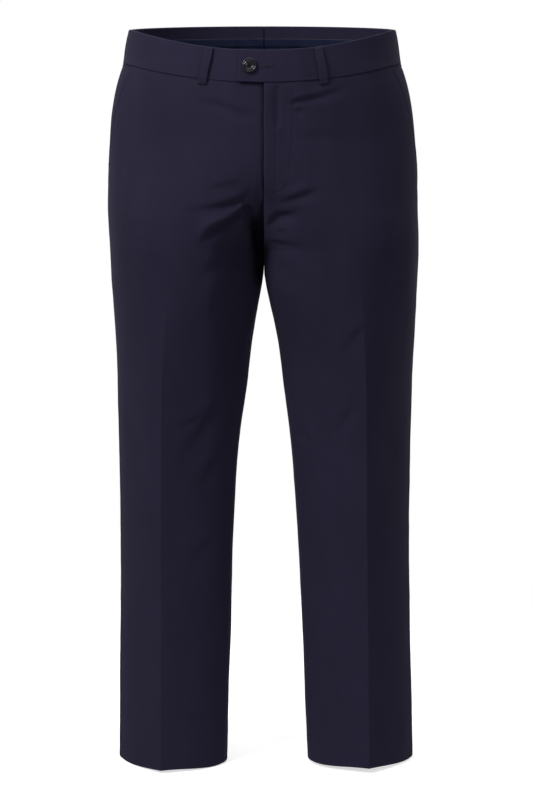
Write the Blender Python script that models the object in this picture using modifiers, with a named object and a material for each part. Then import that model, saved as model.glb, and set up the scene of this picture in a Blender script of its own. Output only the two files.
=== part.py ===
"""Dress trousers, filled out with no wearer and held at the waist.

Metres, +Z up, the front towards -Y, the wearer's left towards +X. The origin is the middle of the
waist opening, level with the top of the waistband at the side seams. Tables are in millimetres.
"""

import math
from collections import namedtuple

import bmesh
import bpy
from mathutils import Vector

MM = 0.001

# Cloth
CLOTH = 1.5  # wall of a panel
SEAM_GAP = 0.3  # between neighbouring pieces
SKIN_GAP = 0.8  # between pieces that lie one behind the other and bend differently

# Heights
CROTCH_Z = -297.0
HEM_Z = -1032.0
WAIST_DIP_FRONT = 33.0  # the waistline is this much lower at the centre front than at the sides
WAIST_RISE_BACK = 11.0  # and this much higher at the centre back
TILT_ENDS_Z = -190.0  # below this height a row of cloth lies level

# Waistband
BAND_HEIGHT = 45.0
BAND_PROUD = 1.0  # its outer face stands out from the panels
BAND_THICK = 3.0
TAB_END_X = -33.5
TAB_LIFT = BAND_THICK + SEAM_GAP  # the left band rides over the right one by this much
TAB_RAMP = (44.0, 72.0)  # x where the left band starts and stops riding up
UNDERLAP_END_X = 38.0
FACING_HEIGHT = 18.0
FACING_THICK = 1.0
CURTAIN_HEIGHT = 26.0

# Belt loops: name, side (+1 wearer's left), share of the way round from centre front to centre back
Loop = namedtuple("Loop", "name side place")
LOOPS = (
    Loop("belt_loop_front_left", 1, 0.1265),
    Loop("belt_loop_front_right", -1, 0.1245),
    Loop("belt_loop_side_left", 1, 0.545),
    Loop("belt_loop_side_right", -1, 0.545),
    Loop("belt_loop_back_left", 1, 0.775),
    Loop("belt_loop_back_right", -1, 0.775),
    Loop("belt_loop_centre_back", 1, 1.0),
)
LOOP_WIDTH = 11.0
LOOP_THICK = 1.8
LOOP_BELOW_BAND = 8.0
LOOP_BULGE = 1.6

# Fly
FLY_BOTTOM_Z = -222.0
FLY_HIDDEN_SHORT = 16.0  # the zip and the shield end this far above the fly's bottom
FLY_EDGE_LIFT = 0.9  # the left front lies over the right one along the fly
FLY_EDGE_WIDTH = 30.0
ZIP_HALF_WIDTH = 14.0
ZIP_THICK = 0.9
SHIELD_THICK = 1.2
SHIELD_LEFT_X = 38.0
SHIELD_RIGHT_X = -10.0

# Slant pockets: the mouth runs from the waist seam to the side seam
POCKET_FORWARD = 0.135  # of the way round, ahead of the side seam, at the waist seam
POCKET_BOTTOM_LEVEL = -212.0
POCKET_TUCK = 0.035  # how far the side piece runs on behind the front

# Button
BUTTON_X = -18.7
BUTTON_Z = -54.6
BUTTON_RADIUS = 9.7
BUTTON_THICK = 3.4
BUTTON_HOLE_RADIUS = 0.95
BUTTON_HOLE_PLACE = 1.9

# The outline seen from the front: x of the outer and inner edge of each side at a height
Outline = namedtuple("Outline", "z right_out right_in left_in left_out")
OUTLINE = (
    Outline(15, 181.5, 0.2, 0.2, 177.0),
    Outline(0, 184.7, 0.2, 0.2, 180.0),
    Outline(-27, 191.2, 0.2, 0.2, 186.2),
    Outline(-41, 193.5, 0.2, 0.2, 188.2),
    Outline(-57, 197.5, 0.2, 0.2, 192.3),
    Outline(-79, 204.2, 0.2, 0.2, 199.1),
    Outline(-101, 208.7, 0.2, 0.2, 203.7),
    Outline(-123, 211.8, 0.2, 0.2, 206.9),
    Outline(-178, 215.2, 0.2, 0.2, 211.7),
    Outline(-244, 217.1, 0.2, 0.2, 214.2),
    Outline(-297, 215.0, 0.2, 0.2, 215.2),
    Outline(-331, 213.3, 0.4, 0.4, 214.5),
    Outline(-345, 212.8, 1.9, 2.2, 214.0),
    Outline(-373, 211.0, 7.2, 8.0, 213.1),
    Outline(-429, 208.3, 16.3, 19.4, 210.8),
    Outline(-486, 206.4, 23.6, 27.2, 208.5),
    Outline(-543, 205.4, 32.0, 35.0, 207.4),
    Outline(-600, 205.0, 38.3, 41.1, 206.5),
    Outline(-658, 204.5, 42.0, 45.3, 206.2),
    Outline(-716, 204.2, 44.4, 48.7, 206.4),
    Outline(-832, 205.3, 47.6, 54.8, 208.5),
    Outline(-950, 206.8, 51.6, 59.8, 212.0),
    Outline(-1032, 208.1, 53.9, 63.5, 214.6),
)

# The outline seen from the side: how far the cloth stands forward and back of its own seams, the y of
# the side seam and inseam, and how far the toe end turns out (y per x across the leg)
Profile = namedtuple("Profile", "z front back seam_y turn_out")
PROFILE = (
    Profile(15, 128, 135, -3, 0.0),
    Profile(-45, 133, 140, -3, 0.0),
    Profile(-100, 137, 147, -2, 0.0),
    Profile(-178, 138, 153, 0, 0.0),
    Profile(-246, 135, 149, 3, 0.0),
    Profile(-297, 128, 137, 5, 0.04),
    Profile(-373, 116, 119, 6, 0.09),
    Profile(-486, 99, 103, 6, 0.15),
    Profile(-600, 87, 92, 6, 0.18),
    Profile(-716, 81, 86, 7, 0.19),
    Profile(-832, 77, 81, 7, 0.19),
    Profile(-1032, 74, 76, 7, 0.19),
)

# The rise: how far forward or back the centre seam still stands, as a share of the depth
Rise = namedtuple("Rise", "z front back")
RISE = (
    Rise(15, 1.0, 1.0),
    Rise(-146, 1.0, 1.0),
    Rise(-186, 0.993, 0.995),
    Rise(-217, 0.955, 0.98),
    Rise(-245, 0.86, 0.935),
    Rise(-268, 0.70, 0.84),
    Rise(-284, 0.46, 0.63),
    Rise(-293, 0.22, 0.34),
    Rise(-297, 0.0, 0.0),
)

# The pressed creases: x of the front crease, how much of the section they shape, and how sharp they
# are (the power of the facet beside the crease: 2 is round and 1 is flat)
Crease = namedtuple("Crease", "z right left share power")
CREASE = (
    Crease(15, 96, 94, 0.0, 2.0),
    Crease(-178, 112, 112, 0.05, 1.9),
    Crease(-246, 121, 120, 0.25, 1.8),
    Crease(-297, 127, 125.5, 0.5, 1.7),
    Crease(-373, 131.5, 132.5, 0.8, 1.5),
    Crease(-475, 138.5, 138.5, 1.0, 1.3),
    Crease(-600, 141.5, 141, 1.0, 1.22),
    Crease(-1032, 145, 148, 1.0, 1.2),
)
CREASE_ROUNDING = 1.75

# The largest folds: face, side, the two ends seen from the front, depth (+ is a ridge) and half width
Fold = namedtuple("Fold", "face side x1 z1 x2 z2 depth width")
FOLDS = (
    Fold("front", -1, -9, -212, -92, -248, -4.5, 8),
    Fold("front", -1, -22, -247, -104, -300, -8.0, 9),
    Fold("front", -1, -30, -236, -96, -272, 3.0, 8),
    Fold("front", -1, -21, -250, -8, -292, -5.5, 8),
    Fold("front", -1, -20, -300, -98, -334, -4.0, 11),
    Fold("front", 1, 30, -236, 84, -216, -3.5, 8),
    Fold("front", 1, 5, -268, 66, -242, -5.0, 8),
    Fold("front", 1, 9, -284, 58, -300, -4.0, 9),
    Fold("front", 1, 33, -102, 112, -84, -3.0, 8),
    Fold("front", 1, 133, -400, 108, -446, -3.5, 11),
    Fold("front", -1, -66, -535, -110, -582, -3.5, 12),
    Fold("front", -1, -72, -604, -116, -560, -2.5, 14),
    Fold("front", -1, -80, -528, -112, -540, -2.5, 9),
    Fold("back", 1, 12, -272, 130, -312, -3.0, 12),
    Fold("back", -1, -10, -260, -132, -318, -3.5, 12),
    Fold("back", 1, 20, -304, 116, -370, -3.0, 14),
    Fold("back", -1, -16, -314, -120, -366, -3.5, 14),
    Fold("back", 1, 60, -520, 150, -560, -2.5, 16),
    Fold("back", -1, -58, -544, -154, -524, -3.0, 15),
)

# Rows of a panel: the level where a stretch ends and the number of rows in it
Stretch = namedtuple("Stretch", "level rows")
STRETCHES = (
    Stretch(-150.0, 4),
    Stretch(-235.0, 5),
    Stretch(-280.0, 5),
    Stretch(CROTCH_Z, 3),
    Stretch(-400.0, 7),
    Stretch(-640.0, 6),
    Stretch(HEM_Z, 5),
)
INNER_COLUMNS = 10  # from the centre seam or inseam to the crease
OUTER_COLUMNS = 9  # from the crease to the side seam


# ---------------------------------------------------------------- scene and materials

def clear_scene():
    for thing in list(bpy.data.objects):
        bpy.data.objects.remove(thing, do_unlink=True)


def new_collection(name):
    collection = bpy.data.collections.new(name)
    bpy.context.scene.collection.children.link(collection)
    return collection


def new_material(name, colour, roughness):
    material = bpy.data.materials.new(name)
    material.use_nodes = True
    shader = material.node_tree.nodes["Principled BSDF"]
    shader.inputs["Base Color"].default_value = (*colour, 1)
    shader.inputs["Roughness"].default_value = roughness
    material.diffuse_color = (*colour, 1)
    return material


# ---------------------------------------------------------------- the body of the trousers

def smooth_value(table, column, z):
    """A column of a table at a height, on a smooth curve that never overshoots its rows."""
    heights = [row.z for row in table]
    values = [getattr(row, column) for row in table]
    if z >= heights[0]:
        return values[0]
    if z <= heights[-1]:
        return values[-1]
    i = next(k for k in range(len(table) - 1) if z >= heights[k + 1])

    def rate(k):
        return (values[k + 1] - values[k]) / (heights[k + 1] - heights[k])

    def slope(k):
        if k == 0 or k == len(table) - 1:
            return rate(min(k, len(table) - 2))
        before = rate(k - 1)
        after = rate(k)
        return 0.0 if before * after <= 0 else 2 * before * after / (before + after)

    step = heights[i + 1] - heights[i]
    t = (z - heights[i]) / step
    return (
        values[i] * (1 + 2 * t) * (1 - t) ** 2
        + slope(i) * step * t * (1 - t) ** 2
        + values[i + 1] * t * t * (3 - 2 * t)
        + slope(i + 1) * step * t * t * (t - 1)
    )


def soft_step(value, start, end):
    t = max(0.0, min(1.0, (value - start) / (end - start)))
    return t * t * (3 - 2 * t)


Section = namedtuple("Section", "middle reach start depth crease share power seam_y turn_out")


def section_at(face, side, z):
    """One side's section at a height: x = middle - reach cos(angle), angle from start to pi."""
    wearer = "left" if side > 0 else "right"
    outer = smooth_value(OUTLINE, wearer + "_out", z)
    inner = smooth_value(OUTLINE, wearer + "_in", z)
    if z > CROTCH_Z:
        rise = smooth_value(RISE, face, z)
        cosine = math.sqrt(max(0.0, 1 - rise * rise))
        middle = cosine * outer / (1 + cosine)
    else:
        middle = (outer + inner) / 2
    reach = outer - middle
    start = math.acos(max(-1.0, min(1.0, (middle - inner) / reach)))
    crease = smooth_value(CREASE, wearer, z)
    if face == "back":
        crease = outer + inner - crease
    return Section(
        middle,
        reach,
        start,
        smooth_value(PROFILE, face, z),
        crease,
        smooth_value(CREASE, "share", z),
        smooth_value(CREASE, "power", z),
        smooth_value(PROFILE, "seam_y", z),
        smooth_value(PROFILE, "turn_out", z),
    )


def fold_depth(face, side, x, z):
    """How far the folds push the cloth in or out at a place seen from the front."""
    total = 0.0
    for fold in FOLDS:
        if fold.face != face or fold.side != side:
            continue
        run = Vector((fold.x2 - fold.x1, fold.z2 - fold.z1))
        here = Vector((x - fold.x1, z - fold.z1))
        along = max(0.0, min(1.0, here.dot(run) / run.length_squared))
        aside = (here - run * along).length
        fade = 1 - soft_step(along, 0.35, 1.15)
        total += fold.depth * fade * math.exp(-((aside / fold.width) ** 2))
    return total


def body_point(face, side, z, angle):
    """A point of the trousers' outer surface, in millimetres."""
    section = section_at(face, side, z)
    across = section.middle - section.reach * math.cos(angle)
    if across < section.crease:
        from_crease = (section.crease - across) / (section.crease - section.middle + section.reach)
    else:
        from_crease = (across - section.crease) / (section.middle + section.reach - section.crease)
    from_crease = min(1.0, from_crease)
    facets = max(0.0, 1 - from_crease**section.power) ** (1 / CREASE_ROUNDING)
    share = section.share
    bulge = (1 - share) * math.sin(angle) + share * facets
    x = side * across
    depth = section.depth * bulge
    depth += fold_depth(face, side, x, z) * math.sin(angle)
    depth += fly_lift(face, side, across, z)
    towards = -1 if face == "front" else 1
    turned = section.turn_out * (across - section.middle)
    return Vector((x, section.seam_y + towards * depth + turned, z))


def fly_lift(face, side, across, z):
    if face == "back" or side < 0:
        return 0.0
    beside = 1 - soft_step(across, 0, FLY_EDGE_WIDTH)
    seam_z = -BAND_HEIGHT - WAIST_DIP_FRONT
    below_band = 1 - soft_step(z, seam_z - 36, seam_z - 2)
    return FLY_EDGE_LIFT * beside * below_band * soft_step(z, FLY_BOTTOM_Z - 15, FLY_BOTTOM_Z + 15)


def body_normal(face, side, z, angle):
    """The outward direction of the surface there."""
    start = section_at(face, side, z).start
    turn = 0.02
    rise = 1.0
    low = max(angle - turn, start)
    high = min(angle + turn, math.pi)
    around = body_point(face, side, z, high) - body_point(face, side, z, low)
    upward = body_point(face, side, z + rise, angle) - body_point(face, side, z - rise, angle)
    normal = around.cross(upward).normalized()
    outward = side if face == "front" else -side
    return normal * outward


def waist_tilt(face, angle):
    """How far a level row is lowered (front) or raised (back) by the slope of the waistline."""
    amount = -WAIST_DIP_FRONT if face == "front" else WAIST_RISE_BACK
    return amount * math.sin(angle) ** 2


def row_height(face, level, angle):
    return level + waist_tilt(face, angle) * soft_step(level, TILT_ENDS_Z, -BAND_HEIGHT)


def angle_of(face, side, z, across):
    """The angle at which the section reaches a distance from the middle plane."""
    section = section_at(face, side, z)
    return math.acos(max(-1.0, min(1.0, (section.middle - across) / section.reach)))


# ---------------------------------------------------------------- walls

def make_wall(name, outer, inner, material, collection):
    """A closed wall between two grids of points (rows from top to bottom), in millimetres."""
    rows = len(outer)
    columns = len(outer[0])
    mesh = bmesh.new()
    skins = [[[mesh.verts.new(p * MM) for p in row] for row in grid] for grid in (outer, inner)]

    def strip(a, b):
        for j in range(len(a) - 1):
            mesh.faces.new((a[j], a[j + 1], b[j + 1], b[j]))

    for skin in skins:
        for i in range(rows - 1):
            strip(skin[i], skin[i + 1])
    for i in (0, rows - 1):
        strip(skins[0][i], skins[1][i])
    for j in (0, columns - 1):
        strip([row[j] for row in skins[0]], [row[j] for row in skins[1]])
    bmesh.ops.recalc_face_normals(mesh, faces=mesh.faces)
    data = bpy.data.meshes.new(name)
    mesh.to_mesh(data)
    mesh.free()
    data.materials.append(material)
    piece = bpy.data.objects.new(name, data)
    collection.objects.link(piece)
    return piece


def panel_levels():
    levels = [-BAND_HEIGHT - SEAM_GAP / 2]
    for stretch in STRETCHES:
        start = levels[-1]
        for i in range(stretch.rows):
            levels.append(start + (stretch.level - start) * (i + 1) / stretch.rows)
    return levels


def mouth_place(level):
    """Share of the half width of a front that is left at a level, where the pocket mouth cuts it."""
    top = -BAND_HEIGHT
    if level <= POCKET_BOTTOM_LEVEL:
        return 1.0
    return 1 - 2 * POCKET_FORWARD * (level - POCKET_BOTTOM_LEVEL) / (top - POCKET_BOTTOM_LEVEL)


def panel_columns(face, side, z, last):
    """Angles across a panel: from its inner edge to the crease, and on to its outer edge."""
    section = section_at(face, side, z)
    start = section.start
    crease = angle_of(face, side, z, section.crease)
    end = math.pi / 2 + (math.pi / 2) * last if last < 1 else math.pi
    angles = [start + (crease - start) * j / INNER_COLUMNS for j in range(INNER_COLUMNS)]
    angles += [crease + (end - crease) * j / OUTER_COLUMNS for j in range(OUTER_COLUMNS + 1)]
    return angles


def make_panel(face, side, material, collection):
    """A front or a back, from the waist seam to the hem."""
    outer = []
    inner = []
    for level in panel_levels():
        last = mouth_place(level) if face == "front" else 1.0
        outer_row = []
        inner_row = []
        middle_angles = panel_columns(face, side, level, last)
        for angle in middle_angles:
            z = row_height(face, level, angle)
            share = panel_columns(face, side, z, last)[len(outer_row)]
            point = body_point(face, side, z, share)
            normal = body_normal(face, side, z, share)
            if share >= math.pi - 1e-6 or share <= 1e-6:
                point.y += SEAM_GAP / 2 * (-1 if face == "front" else 1)
            outer_row.append(point)
            inner_row.append(point - normal * CLOTH)
        outer.append(outer_row)
        inner.append(inner_row)
    name = f"{face}_{'left' if side > 0 else 'right'}"
    return make_wall(name, outer, inner, material, collection)


# ---------------------------------------------------------------- what lies on or in the waist

def ring_place(place):
    """Face, side and angle of a place round the waist: 0 centre front, 1 centre back, + is left."""
    side = 1 if place >= 0 else -1
    share = abs(place)
    if share <= 0.5:
        return "front", side, math.pi / 2 + math.pi * share
    return "back", side, math.pi - math.pi * (share - 0.5)


def ring_point(place, drop, offset):
    """A point a drop below the waistline and moved out from the surface by an offset."""
    face, side, angle = ring_place(place)
    level = -drop
    z = row_height(face, level, angle)
    point = body_point(face, side, z, angle)
    return point + body_normal(face, side, z, angle) * offset


def place_of_x(x, drop):
    """The place round the front of the waist that has this x."""
    low, high = -0.5, 0.5
    for _ in range(40):
        middle = (low + high) / 2
        if ring_point(middle, drop, 0).x < x:
            low = middle
        else:
            high = middle
    return (low + high) / 2


def make_ring_wall(name, places, drops, offsets, material, collection):
    """A wall round part of the waist. offsets(place, drop) gives its outer and inner offset."""
    outer = []
    inner = []
    for drop in drops:
        pairs = [offsets(place, drop) for place in places]
        outer.append([ring_point(p, drop, pair[0]) for p, pair in zip(places, pairs)])
        inner.append([ring_point(p, drop, pair[1]) for p, pair in zip(places, pairs)])
    return make_wall(name, outer, inner, material, collection)


def spread(start, end, count):
    return [start + (end - start) * i / count for i in range(count + 1)]


def gap_place(drop):
    """Half the seam gap, as a share of the way round at the centre back."""
    return SEAM_GAP / 2 / (math.pi * 190)


def band_lift(place):
    """How far the left band rides over the right one."""
    x = ring_point(place, BAND_HEIGHT / 2, 0).x
    return TAB_LIFT * (1 - soft_step(x, *TAB_RAMP))


def make_waistbands(material, collection):
    drops = spread(0, BAND_HEIGHT - SEAM_GAP / 2, 3)
    middle = BAND_HEIGHT / 2
    back = 1 - gap_place(middle)
    tab_end = place_of_x(TAB_END_X, middle)
    ramp_end = place_of_x(TAB_RAMP[1], middle)
    left = spread(tab_end, ramp_end, 16)[:-1] + spread(ramp_end, back, 26)

    def left_offsets(place, drop):
        lift = band_lift(place) if place < ramp_end else 0.0
        return BAND_PROUD + lift, BAND_PROUD - BAND_THICK + lift

    make_ring_wall("waistband_left", left, drops, left_offsets, material, collection)
    underlap = place_of_x(UNDERLAP_END_X, middle)
    right = spread(underlap, 0, 5)[:-1] + [-p for p in spread(0, back, 28)]

    def right_offsets(place, drop):
        return BAND_PROUD, BAND_PROUD - BAND_THICK

    make_ring_wall("waistband_right", right, drops, right_offsets, material, collection)


def make_facings(self_cloth, lining, collection):
    """The self-cloth facing and, under it, the lining strip, inside each half of the waistband."""
    outside = BAND_PROUD - BAND_THICK - SEAM_GAP
    back = 1 - gap_place(0)
    front = place_of_x(UNDERLAP_END_X + SEAM_GAP, BAND_HEIGHT / 2)
    for side, name in ((1, "left"), (-1, "right")):
        first = front if side > 0 else -0.004
        places = spread(first, side * back, 26)

        def facing_offsets(place, drop):
            return outside, outside - FACING_THICK

        drops = spread(1.0, FACING_HEIGHT, 1)
        make_ring_wall(f"facing_{name}", places, drops, facing_offsets, self_cloth, collection)
        drops = spread(FACING_HEIGHT + SEAM_GAP, FACING_HEIGHT + CURTAIN_HEIGHT, 2)
        make_ring_wall(f"curtain_{name}", places, drops, facing_offsets, lining, collection)


def make_pocket_pieces(material, collection):
    """The side piece that fills the mouth of each slant pocket and runs on behind the front."""
    levels = [level for level in panel_levels() if level > POCKET_BOTTOM_LEVEL]
    under = -CLOTH - SKIN_GAP
    for side, name in ((1, "left"), (-1, "right")):
        outer = []
        inner = []
        for level in levels:
            mouth = mouth_place(level)
            shares = [mouth - POCKET_TUCK, mouth] + spread(mouth, 1.0, 3)[1:]
            outer_row = []
            inner_row = []
            for share in shares:
                angle = math.pi / 2 + math.pi / 2 * share
                z = row_height("front", level, angle)
                point = body_point("front", side, z, angle)
                normal = body_normal("front", side, z, angle)
                if share >= 1:
                    point.y -= SEAM_GAP / 2
                surface = under * (1 - soft_step(share, mouth, 1.0))
                outer_row.append(point + normal * surface)
                inner_row.append(point + normal * (surface - CLOTH))
            outer.append(outer_row)
            inner.append(inner_row)
        make_wall(f"pocket_piece_{name}", outer, inner, material, collection)


def make_belt_loops(material, collection):
    """Flat loops, sewn to the top of the band and just below its seam."""
    length = BAND_HEIGHT + LOOP_BELOW_BAND
    drops = [1.0, 4.0, 10.0, 20.0, 32.0, 42.0, BAND_HEIGHT + 1.0, length]
    for loop in LOOPS:
        half = LOOP_WIDTH / 2 / (math.pi * 175)
        middle = loop.side * loop.place

        def around(place):
            if place > 1:
                return place - 2
            return place

        outer = []
        inner = []
        for drop in drops:
            bulge = LOOP_BULGE * math.sin(math.pi * drop / length)
            seat = BAND_PROUD if drop < BAND_HEIGHT + 5 else 0.4
            low = seat + SEAM_GAP + bulge
            places = [around(middle - half), around(middle), around(middle + half)]
            outer.append([ring_point(p, drop, low + LOOP_THICK) for p in places])
            inner.append([ring_point(p, drop, low) for p in places])
        make_wall(loop.name, outer, inner, material, collection)


# ---------------------------------------------------------------- fly and button

def front_point(x, z, offset):
    """A point of the front at this x and height, moved out by an offset."""
    side = 1 if x >= 0 else -1
    angle = angle_of("front", side, z, max(abs(x), 0.2))
    point = body_point("front", side, z, angle)
    normal = body_normal("front", side, z, angle)
    return point + normal * offset


def make_fly_wall(name, right_x, left_x, top_z, bottom_z, outside, thick, material, collection):
    """A strip behind the fly, rounded off towards its bottom."""
    outer = []
    inner = []
    for z in spread(top_z, bottom_z, 8):
        narrow = soft_step(z, bottom_z, bottom_z + 35)
        left = left_x * (0.45 + 0.55 * narrow)
        xs = spread(right_x, -0.2, 2) + spread(0.2, left, 4)
        outer.append([front_point(x, z, outside) for x in xs])
        inner.append([front_point(x, z, outside - thick) for x in xs])
    make_wall(name, outer, inner, material, collection)


def make_fly(cloth, tape, collection):
    top = -BAND_HEIGHT - WAIST_DIP_FRONT - 2.0
    tape_outside = -CLOTH - SKIN_GAP
    bottom = FLY_BOTTOM_Z + FLY_HIDDEN_SHORT
    make_fly_wall(
        "fly_zip", -ZIP_HALF_WIDTH, ZIP_HALF_WIDTH, top, bottom, tape_outside, ZIP_THICK, tape, collection
    )
    shield_outside = tape_outside - ZIP_THICK - SEAM_GAP
    make_fly_wall(
        "fly_shield", SHIELD_RIGHT_X, SHIELD_LEFT_X, top, bottom, shield_outside, SHIELD_THICK, cloth, collection
    )


def make_button(material, collection, cutters):
    """A four-hole button with a raised rim and a dished middle, turned about its own axis."""
    radius = BUTTON_RADIUS
    thick = BUTTON_THICK
    profile = (
        (0.0, 0.0),
        (radius * 0.72, 0.0),
        (radius * 0.97, thick * 0.4),
        (radius, thick * 0.62),
        (radius * 0.93, thick * 0.92),
        (radius * 0.82, thick),
        (radius * 0.7, thick * 0.9),
        (radius * 0.6, thick * 0.66),
        (0.0, thick * 0.58),
    )
    data = bpy.data.meshes.new("button")
    points = [(r * MM, 0, h * MM) for r, h in profile]
    edges = [(i, i + 1) for i in range(len(points) - 1)]
    data.from_pydata(points, edges, [])
    data.materials.append(material)
    button = bpy.data.objects.new("button", data)
    collection.objects.link(button)
    turn = button.modifiers.new("turn", "SCREW")
    turn.steps = 32
    turn.render_steps = 32
    turn.use_merge_vertices = True
    turn.merge_threshold = 0.0001
    turn.use_normal_calculate = True
    seat = BAND_PROUD + TAB_LIFT + SEAM_GAP
    place = place_of_x(BUTTON_X, -BUTTON_Z)
    face, side, angle = ring_place(place)
    normal = body_normal(face, side, BUTTON_Z, angle)
    button.location = front_point(BUTTON_X, BUTTON_Z, seat) * MM
    button.rotation_euler = normal.to_track_quat("Z", "Y").to_euler()
    for i in range(4):
        turned = math.radians(45 + 90 * i)
        bpy.ops.mesh.primitive_cylinder_add(
            vertices=12, radius=BUTTON_HOLE_RADIUS * MM, depth=4 * thick * MM
        )
        hole = bpy.context.object
        hole.name = f"button_hole_{i + 1}"
        for owner in list(hole.users_collection):
            owner.objects.unlink(hole)
        cutters.objects.link(hole)
        hole.parent = button
        away = BUTTON_HOLE_PLACE * MM
        hole.location = (away * math.cos(turned), away * math.sin(turned), 0)
        hole.hide_render = True
        hole.display_type = "WIRE"
        cut = button.modifiers.new(f"hole_{i + 1}", "BOOLEAN")
        cut.object = hole
        cut.operation = "DIFFERENCE"
    return button


def main():
    clear_scene()
    trousers = new_collection("dress_trousers")
    cutters = new_collection("cutters")
    navy = new_material("navy_wool", (0.0225, 0.0215, 0.0435), 0.8)
    lining = new_material("blue_lining", (0.012, 0.02, 0.045), 0.5)
    tape = new_material("zip_tape", (0.012, 0.012, 0.02), 0.7)
    horn = new_material("dark_button", (0.008, 0.007, 0.01), 0.25)
    for face in ("front", "back"):
        for side in (1, -1):
            make_panel(face, side, navy, trousers)
    make_pocket_pieces(navy, trousers)
    make_waistbands(navy, trousers)
    make_facings(navy, lining, trousers)
    make_belt_loops(navy, trousers)
    make_fly(navy, tape, trousers)
    make_button(horn, trousers, cutters)


main()
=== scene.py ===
"""The looks of the dress trousers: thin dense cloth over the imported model's own forms.

Lengths are in millimetres until a mesh is made. The front faces -Y and the wearer's left is +X.
"""

import math
from collections import namedtuple

import bmesh
import bpy
import numpy as np
from mathutils import Matrix, Vector, noise


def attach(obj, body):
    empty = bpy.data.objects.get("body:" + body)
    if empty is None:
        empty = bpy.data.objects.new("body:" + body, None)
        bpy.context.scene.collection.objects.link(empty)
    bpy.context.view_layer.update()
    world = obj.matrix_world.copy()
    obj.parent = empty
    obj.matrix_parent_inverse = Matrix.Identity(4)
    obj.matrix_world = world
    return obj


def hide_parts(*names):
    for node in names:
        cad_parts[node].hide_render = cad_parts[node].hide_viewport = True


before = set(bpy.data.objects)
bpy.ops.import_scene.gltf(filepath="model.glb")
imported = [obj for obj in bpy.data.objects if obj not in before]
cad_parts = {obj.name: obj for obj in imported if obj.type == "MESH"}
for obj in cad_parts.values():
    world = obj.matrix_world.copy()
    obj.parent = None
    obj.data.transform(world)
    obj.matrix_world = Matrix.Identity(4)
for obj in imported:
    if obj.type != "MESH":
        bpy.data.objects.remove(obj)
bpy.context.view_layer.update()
BODY = "root"
MM = 0.001

# ---------------------------------------------------------------- sizes

CROTCH_Z = -297.0
HEM_Z = -1032.0
HEM_TURN = 36.0
WAIST_DIP_FRONT = 33.0
WAIST_RISE_BACK = 12.4
SEAM_DIP = 0.885
TILT_ENDS_Z = -190.0
CLOTH = 1.2
HEM_CLOTH = 2 * CLOTH + 0.2
SEAM = 0.12
CONTACT = 0.03

BAND_HEIGHT = 45.0
BAND_PROUD = 1.0
BAND_THICK = 3.0
TAB_END_X = -33.5
TAB_LIFT = 3.3
TAB_RAMP = (44.0, 72.0)
UNDERLAP_END_X = 38.0
FACING_HEIGHT = 18.0
CURTAIN_HEIGHT = 26.0
CURTAIN_FOLD = 11.0
CURTAIN_LIP = 1.3

FLY_BOTTOM_Z = -222.0
FLY_STITCH_X = 38.0
FLY_EDGE_WIDTH = 30.0
FLY_EDGE_LIFT = 2.4
POCKET_FORWARD = 0.135
POCKET_BOTTOM_LEVEL = -212.0
POCKET_TUCK = 0.035
RECESS = 0.62
WIDE_RECESS = -0.11
EDGE_RECESS = 0.27
FOOT_HOLLOW = 8.0
FOOT_FALL = 6.0
LEG_EASE = 1.3
FULLNESS = 0.56
FULLNESS_FALL = 0.36
TUCK_WIDTH = 8.0
STEEP_WALL = 0.75
GENTLE_WALL = 1.45
LEGS_PART_Z = -335.0

BUTTON_X = -18.7
BUTTON_DROP = 22.8
BUTTON_RADIUS = 9.8
BUTTON_THICK = 3.6
BUTTONHOLE_ENDS_X = (-6.0, 11.0)

Outline = namedtuple("Outline", "z right_out right_in left_in left_out")
OUTLINE = [Outline(*row) for row in (
    (15, 181.5, 0.2, 0.2, 177.0),
    (0, 184.7, 0.2, 0.2, 180.0),
    (-27, 189.0, 0.2, 0.2, 183.4),
    (-41, 191.6, 0.2, 0.2, 186.1),
    (-57, 197.6, 0.2, 0.2, 192.4),
    (-79, 204.2, 0.2, 0.2, 199.1),
    (-101, 208.7, 0.2, 0.2, 203.7),
    (-123, 211.8, 0.2, 0.2, 206.9),
    (-178, 215.2, 0.2, 0.2, 211.7),
    (-244, 217.1, 0.2, 0.2, 214.2),
    (-297, 215.0, 0.2, 0.2, 215.2),
    (-331, 213.3, 0.4, 0.4, 214.5),
    (-345, 212.8, 1.9, 2.2, 214.0),
    (-373, 211.0, 7.2, 8.0, 213.1),
    (-429, 208.3, 16.3, 19.4, 210.8),
    (-486, 206.4, 23.6, 27.2, 208.5),
    (-543, 205.4, 32.0, 35.0, 207.4),
    (-600, 205.0, 38.3, 41.1, 206.5),
    (-658, 204.5, 42.0, 45.3, 206.2),
    (-716, 204.2, 44.4, 48.7, 206.4),
    (-832, 205.3, 47.6, 54.8, 208.5),
    (-950, 206.8, 51.6, 59.8, 212.0),
    (-1032, 208.1, 53.9, 63.5, 214.6),
)]

Profile = namedtuple("Profile", "z front back seam_y turn_out")
PROFILE = [Profile(*row) for row in (
    (15, 128, 135, -3, 0.0),
    (-45, 133, 140, -3, 0.0),
    (-100, 137, 147, -2, 0.0),
    (-178, 138, 153, 0, 0.0),
    (-246, 135, 149, 3, 0.0),
    (-297, 128, 137, 5, 0.04),
    (-373, 116, 119, 6, 0.09),
    (-486, 99, 103, 6, 0.15),
    (-600, 87, 92, 6, 0.18),
    (-716, 81, 86, 7, 0.19),
    (-832, 77, 81, 7, 0.19),
    (-1032, 74, 76, 7, 0.19),
)]

# The rise: how far the deepest place of a section has moved away from the centre seam, as the cosine
# of the angle at which the section starts
Rise = namedtuple("Rise", "z front back")
RISE = [Rise(*row) for row in (
    (15, 0.0, 0.0),
    (-140, 0.0, 0.0),
    (-186, 0.118, 0.1),
    (-217, 0.297, 0.199),
    (-245, 0.51, 0.355),
    (-268, 0.714, 0.543),
    (-284, 0.888, 0.777),
    (-293, 0.9755, 0.94),
    (-297, 1.0, 1.0),
)]

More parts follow.
